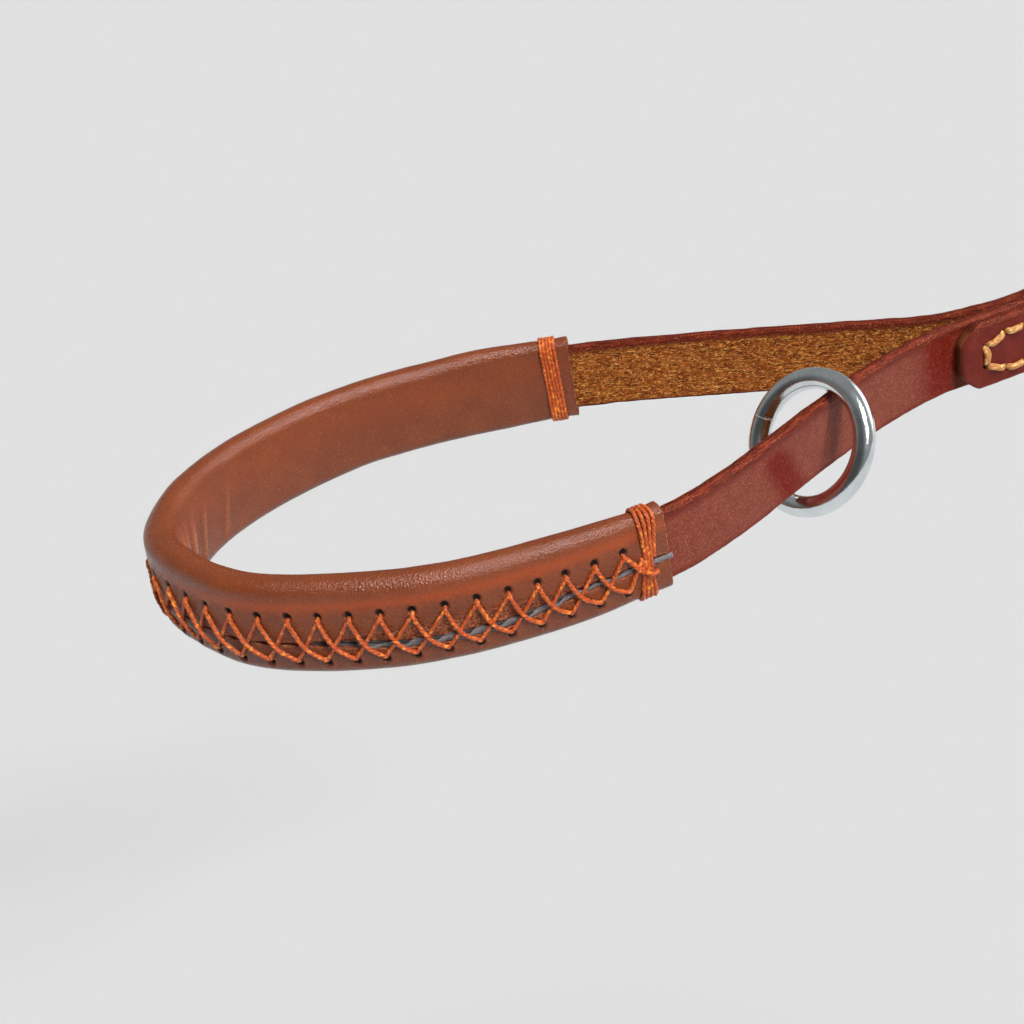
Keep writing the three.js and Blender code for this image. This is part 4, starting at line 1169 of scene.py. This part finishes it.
def bored(start, end, height=0.0):
    """The cutting tool of a bore along the snap's line, between two distances from the hook."""
    steps = [(start, 0), (start, BORE_RADIUS), (end, BORE_RADIUS), (end, 0)]
    return lathe(steps, height=height, sides=BORE_SIDES)
def build_ring():
    """The welded ring: round wire with a low bead and two fine lines at the weld."""
    around, section = 240, 40
    normal = np.array([math.cos(RING_LEAN) * math.cos(RING_AZIMUTH),
                       math.cos(RING_LEAN) * math.sin(RING_AZIMUTH), math.sin(RING_LEAN)])
    level = np.array([-math.sin(RING_AZIMUTH), math.cos(RING_AZIMUTH), 0])
    rise = np.cross(level, normal) * -1
    turn = np.linspace(0, 2 * math.pi, around, endpoint=False)
    close = WELD_AT + np.linspace(-0.06, 0.06, 41)
    turn = np.sort(np.concatenate([turn[np.abs(turn - WELD_AT) > 0.065], close]))[:, None]
    angle = np.linspace(0, 2 * math.pi, section, endpoint=False)[None, :]
    spoke = level * np.cos(turn)[..., None] + rise * np.sin(turn)[..., None]
    from_weld = (turn - WELD_AT) * RING_MIDDLE_RADIUS
    bead_line = from_weld - 0.35 * np.sin(angle)
    cross_line = from_weld + 0.25 * np.cos(angle)
    bead = 0.03 * np.exp(-(bead_line / 0.3) ** 2)
    cuts = 0.06 * np.exp(-(bead_line / 0.08) ** 2) + 0.03 * np.exp(-(cross_line / 0.08) ** 2)
    radius = RING_WIRE_RADIUS + bead - cuts
    grid = (np.array(RING_CENTRE) + spoke * (RING_MIDDLE_RADIUS + radius * np.cos(angle))[..., None]
            + normal * (radius * np.sin(angle))[..., None])
    rows = grid.shape[0]
    faces = grid_faces(rows, section, closed=True) + joined_faces((rows - 1) * section, section)
    piece = new_object("loose_ring", grid.reshape(-1, 3), faces)
    face_outwards(piece)
    return piece


def build_eye():
    """The strap's bow of wire with its boss, bored from inside for the swivel stud."""
    half_depth, corner, half_height = 6.5, 4.0, 12.0
    middle_x = EYE_X + half_depth
    path = []
    for side_x, side_z, start in ((1, 1, 0), (-1, 1, 90), (-1, -1, 180), (1, -1, 270)):
        for i in range(10):
            angle = math.radians(start + 90 * i / 9)
            path.append((middle_x + side_x * (half_depth - corner) + corner * math.cos(angle), LAP_Y,
                         side_z * (half_height - corner) + corner * math.sin(angle)))
    path.append(path[0])
    wire = round_bar(evenly(np.array(path), 0.8)[:-1], 2.2, 24, closed=True, first_side=(0, 1, 0))
    boss_x = EYE_X + 10.2
    boss = lathe([(0, 0), (0, 5), (2.6, 5), (3.2, 4.6), (4.4, 4.6), (5, 5), (8.8, 4.9), (8.8, 0)],
                 boss_x, corner=0.6)
    bore = lathe([(-4.2, 0), (-4.2, 4.3), (0, 4.3), (0, BORE_RADIUS), (12, BORE_RADIUS), (12, 0)],
                 boss_x, sides=BORE_SIDES)
    return cast("snap_eye_casting", [wire, boss], [bore])


def build_stud():
    steps = [(0, 0), (0, 3.0), (0.7, 3.95), (1.9, 3.95), (1.9, 2.0), (18, 2.0), (18, 0)]
    return gathered("swivel_pin", [lathe(steps, EYE_X + 8.0, corner=0.3)])


def build_hook():
    """The hook's casting: collar, barrel with a lip, web and arm, bored and slotted."""
    collar = lathe([(0, 0), (0, 4.7), (0.8, 5.2), (6, 5.2), (11, 3.4), (11, 0)], corner=0.7)
    barrel = lathe([(1, 0), (1, 3.9), (3, 3.9), (22, 3.9), (22, 0)], height=BARREL_Z, corner=0.8)
    lip = lathe([(19.6, 0), (19.6, 4.3), (21.8, 4.3), (21.8, 0)], height=BARREL_Z, corner=0.5)
    web = block((HOOK_X + 1.6, LAP_Y - 2.6, BARREL_Z), (HOOK_X + 9, LAP_Y + 2.6, 0))
    path = [(3, 0.4), (5, 1.4), (11, 5), (18, 8.6)]
    for i in range(10):
        angle = math.pi / 2 + (i / 9) * (math.radians(-72) - math.pi / 2)
        path.append((27 + 10.5 * math.cos(angle), 10.5 * math.sin(angle)))
    line = smooth_curve(np.array([(HOOK_X + x, LAP_Y, z) for x, z in path]), 6)
    share = np.linspace(0, 1, len(line))
    radii = np.interp(share, [0, 0.2, 0.5, 0.9, 1], [3.2, 2.8, 2.55, 2.5, 2.35])
    arm = round_bar(line, radii, 28, first_side=(0, 1, 0))
    trim = block((HOOK_X + 22, LAP_Y - 5, BARREL_Z - 5), (HOOK_X + 29.9, LAP_Y + 5, BARREL_Z + 4))
    slot = block((HOOK_X + 6.4, LAP_Y - 1.35, BARREL_Z - 5), (HOOK_X + 18.3, LAP_Y + 1.35, BARREL_Z))
    cutters = [bored(3, 24, BARREL_Z), trim, slot, bored(-1, 7)]
    return cast("hook_casting", [collar, barrel, lip, web, arm], cutters)


def build_bolt():
    bolt = lathe([(15, 0), (15, 1.95), (16, 1.95), (27.2, 1.95), (28.4, 1.95), (29.6, 1.5), (29.6, 0)],
                 height=BARREL_Z, corner=0.35)
    knob_top = BARREL_Z - 4.4
    profile = [(BARREL_Z - 0.3, 0), (BARREL_Z - 0.3, 1.0), (knob_top, 1.0), (knob_top, 1.9),
               (knob_top - 0.5, 2.3)]
    for ring in range(3):
        level = knob_top - 0.75 - ring * 0.4
        profile += [(level, 2.3), (level - 0.1, 2.12), (level - 0.22, 2.3)]
    profile += [(knob_top - 2.0, 1.9), (knob_top - 2.2, 1.3), (knob_top - 2.2, 0)]
    knob = turned(rounded_profile(profile, 0.2, 4), (HOOK_X + 17, LAP_Y, 0), 48, axis="Z")
    return gathered("lock_bolt", [bolt]), gathered("thumb_knob", [knob])


def build_spring():
    turns, start, end = 5, HOOK_X + 3.5, HOOK_X + 14.5
    angle = np.linspace(0, 2 * math.pi * turns, turns * 36)
    share = angle / angle[-1]
    x = start + (end - start) * share
    path = np.stack([x, LAP_Y + 1.5 * np.cos(angle), BARREL_Z + 1.5 * np.sin(angle)], 1)
    return gathered("bolt_spring_wire", [round_bar(path, 0.3, 10, first_side=(1, 0, 0))])


# ---- assembly -----------------------------------------------------------------------------
def finish_piece(piece, node, body, slot, look):
    piece.data.materials.clear()
    piece.data.materials.append(look)
    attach(piece, body)
    if node:
        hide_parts(node)


bridle = strap_leather()
nappa = cover_leather()
felt = grey_felt()
orange = waxed_thread("LacingThread", srgb(146, 46, 2), srgb(206, 86, 6), srgb(246, 146, 44), 1.6)
tan = waxed_thread("StitchThread", srgb(150, 82, 28), srgb(220, 156, 78), srgb(248, 204, 134), 1.4)
nickel = plated_metal("NickelPlate", srgb(228, 234, 236), 0.1, 0.5)
cast_nickel = plated_metal("CastNickel", srgb(192, 191, 187), 0.2, 0.8)
steel = plated_metal("SpringSteel", srgb(160, 160, 160), 0.3, 0.6)

strap = build_strap()
cover = build_cover()
wrap, strip = build_felt()
lacing = build_lacing()
near_whipping, far_whipping = build_whippings()
stitches = build_stitches()
bolt, knob = build_bolt()
spring = build_spring()
pieces = [
    (strap, "leash_strap", "leash", "bridle_leather", bridle),
    (cover, "handle_cover", "leash", "cover_leather", nappa),
    (wrap, "handle_padding", "leash", "felt", felt),
    (strip, None, "leash", "felt", felt),
    (lacing, "cover_lacing", "leash", "lacing_thread", orange),
    (near_whipping, "front_whipping", "leash", "lacing_thread", orange),
    (far_whipping, "rear_whipping", "leash", "lacing_thread", orange),
    (stitches, "lap_stitching", "leash", "stitch_thread", tan),
    (build_ring(), "accessory_ring", "ring", "nickel", nickel),
    (build_eye(), "snap_eye", "eye", "nickel", cast_nickel),
    (build_stud(), "swivel_stud", "hook", "nickel", nickel),
    (build_hook(), "hook_body", "hook", "nickel", cast_nickel),
    (bolt, "snap_bolt", "bolt", "nickel", nickel),
    (knob, "thumb_stud", "bolt", "nickel", nickel),
    (spring, "bolt_spring", "hook", "spring_steel", steel),
]
for row in pieces:
    finish_piece(*row)
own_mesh(spring)


# ---- studio -------------------------------------------------------------------------------
FLOOR_Z = -0.6
FLOOR_TONE = 0.495
FLOOR_HALF = 14.0
ROOM_TONE = 0.27
SOFT_BOX = ((0.15, -0.42, 0.89), 5, 13, 34.0)
LIT_WALL = ((0.95, 0.1, 0.2), 14, 34, 1.6)
DIM_WALL = ((-0.85, -0.45, 0.15), 20, 70, -0.2)


def lay_floor():
    corners = [(x * FLOOR_HALF, y * FLOOR_HALF, FLOOR_Z) for x, y in ((-1, -1), (1, -1), (1, 1), (-1, 1))]
    mesh = bpy.data.meshes.new("studio_floor")
    mesh.from_pydata(corners, [], [(0, 1, 2, 3)])
    floor = placed("studio_floor", mesh)
    look = Look("StudioFloor", 1.0, specular=0.0)
    mesh.materials.append(look.done((FLOOR_TONE, FLOOR_TONE, FLOOR_TONE, 1)))


def light_world():
    """An even white room with a bright patch overhead, a lit wall on the right, a dim one on the left."""
    world = bpy.data.worlds.new("Studio")
    world.use_nodes = True
    tree = world.node_tree
    coordinate = tree.nodes.new("ShaderNodeTexCoord")
    background = tree.nodes["Background"]

    def lobe(direction, tight, loose):
        dot = tree.nodes.new("ShaderNodeVectorMath")
        dot.operation = "DOT_PRODUCT"
        dot.inputs[1].default_value = Vector(direction).normalized()
        tree.links.new(coordinate.outputs["Generated"], dot.inputs[0])
        span = tree.nodes.new("ShaderNodeMapRange")
        span.interpolation_type = "SMOOTHSTEP"
        span.inputs["From Min"].default_value = math.cos(math.radians(loose))
        span.inputs["From Max"].default_value = math.cos(math.radians(tight))
        tree.links.new(dot.outputs["Value"], span.inputs["Value"])
        return span.outputs["Result"]

    def scaled_sum(first, second, factor):
        node = tree.nodes.new("ShaderNodeMath")
        node.operation = "MULTIPLY_ADD"
        tree.links.new(first, node.inputs[0])
        node.inputs[1].default_value = factor
        if isinstance(second, float):
            node.inputs[2].default_value = second
        else:
            tree.links.new(second, node.inputs[2])
        return node.outputs[0]

    total = ROOM_TONE
    for direction, tight, loose, strength in (SOFT_BOX, LIT_WALL, DIM_WALL):
        total = scaled_sum(lobe(direction, tight, loose), total, strength)
    tree.links.new(total, background.inputs["Strength"])
    background.inputs["Color"].default_value = (1, 1, 1, 1)
    bpy.context.scene.world = world


def add_sun(name, direction, strength, angle):
    light = bpy.data.lights.new(name, "SUN")
    light.energy = strength
    light.angle = math.radians(angle)
    lamp = placed(name, light)
    lamp.rotation_mode = "QUATERNION"
    lamp.rotation_quaternion = Vector(direction).to_track_quat("Z", "Y")


def add_camera():
    data = bpy.data.cameras.new("PhotoCamera")
    data.sensor_width = 36
    data.lens = CAMERA_LENS
    data.clip_start = 0.02
    data.clip_end = 60
    camera = placed("PhotoCamera", data)
    right, up = Vector(CAMERA_RIGHT), Vector(CAMERA_UP)
    back = right.cross(up)
    matrix = Matrix((right, up, back)).transposed().to_4x4()
    matrix.translation = Vector(CAMERA_PLACE) * MM
    camera.matrix_world = matrix
    bpy.context.scene.camera = camera


bpy.context.scene.view_settings.view_transform = "Standard"
bpy.context.scene.view_settings.look = "None"
lay_floor()
light_world()
add_sun("KeySun", (0.22, -0.74, 0.62), 1.6, 7)
add_camera()
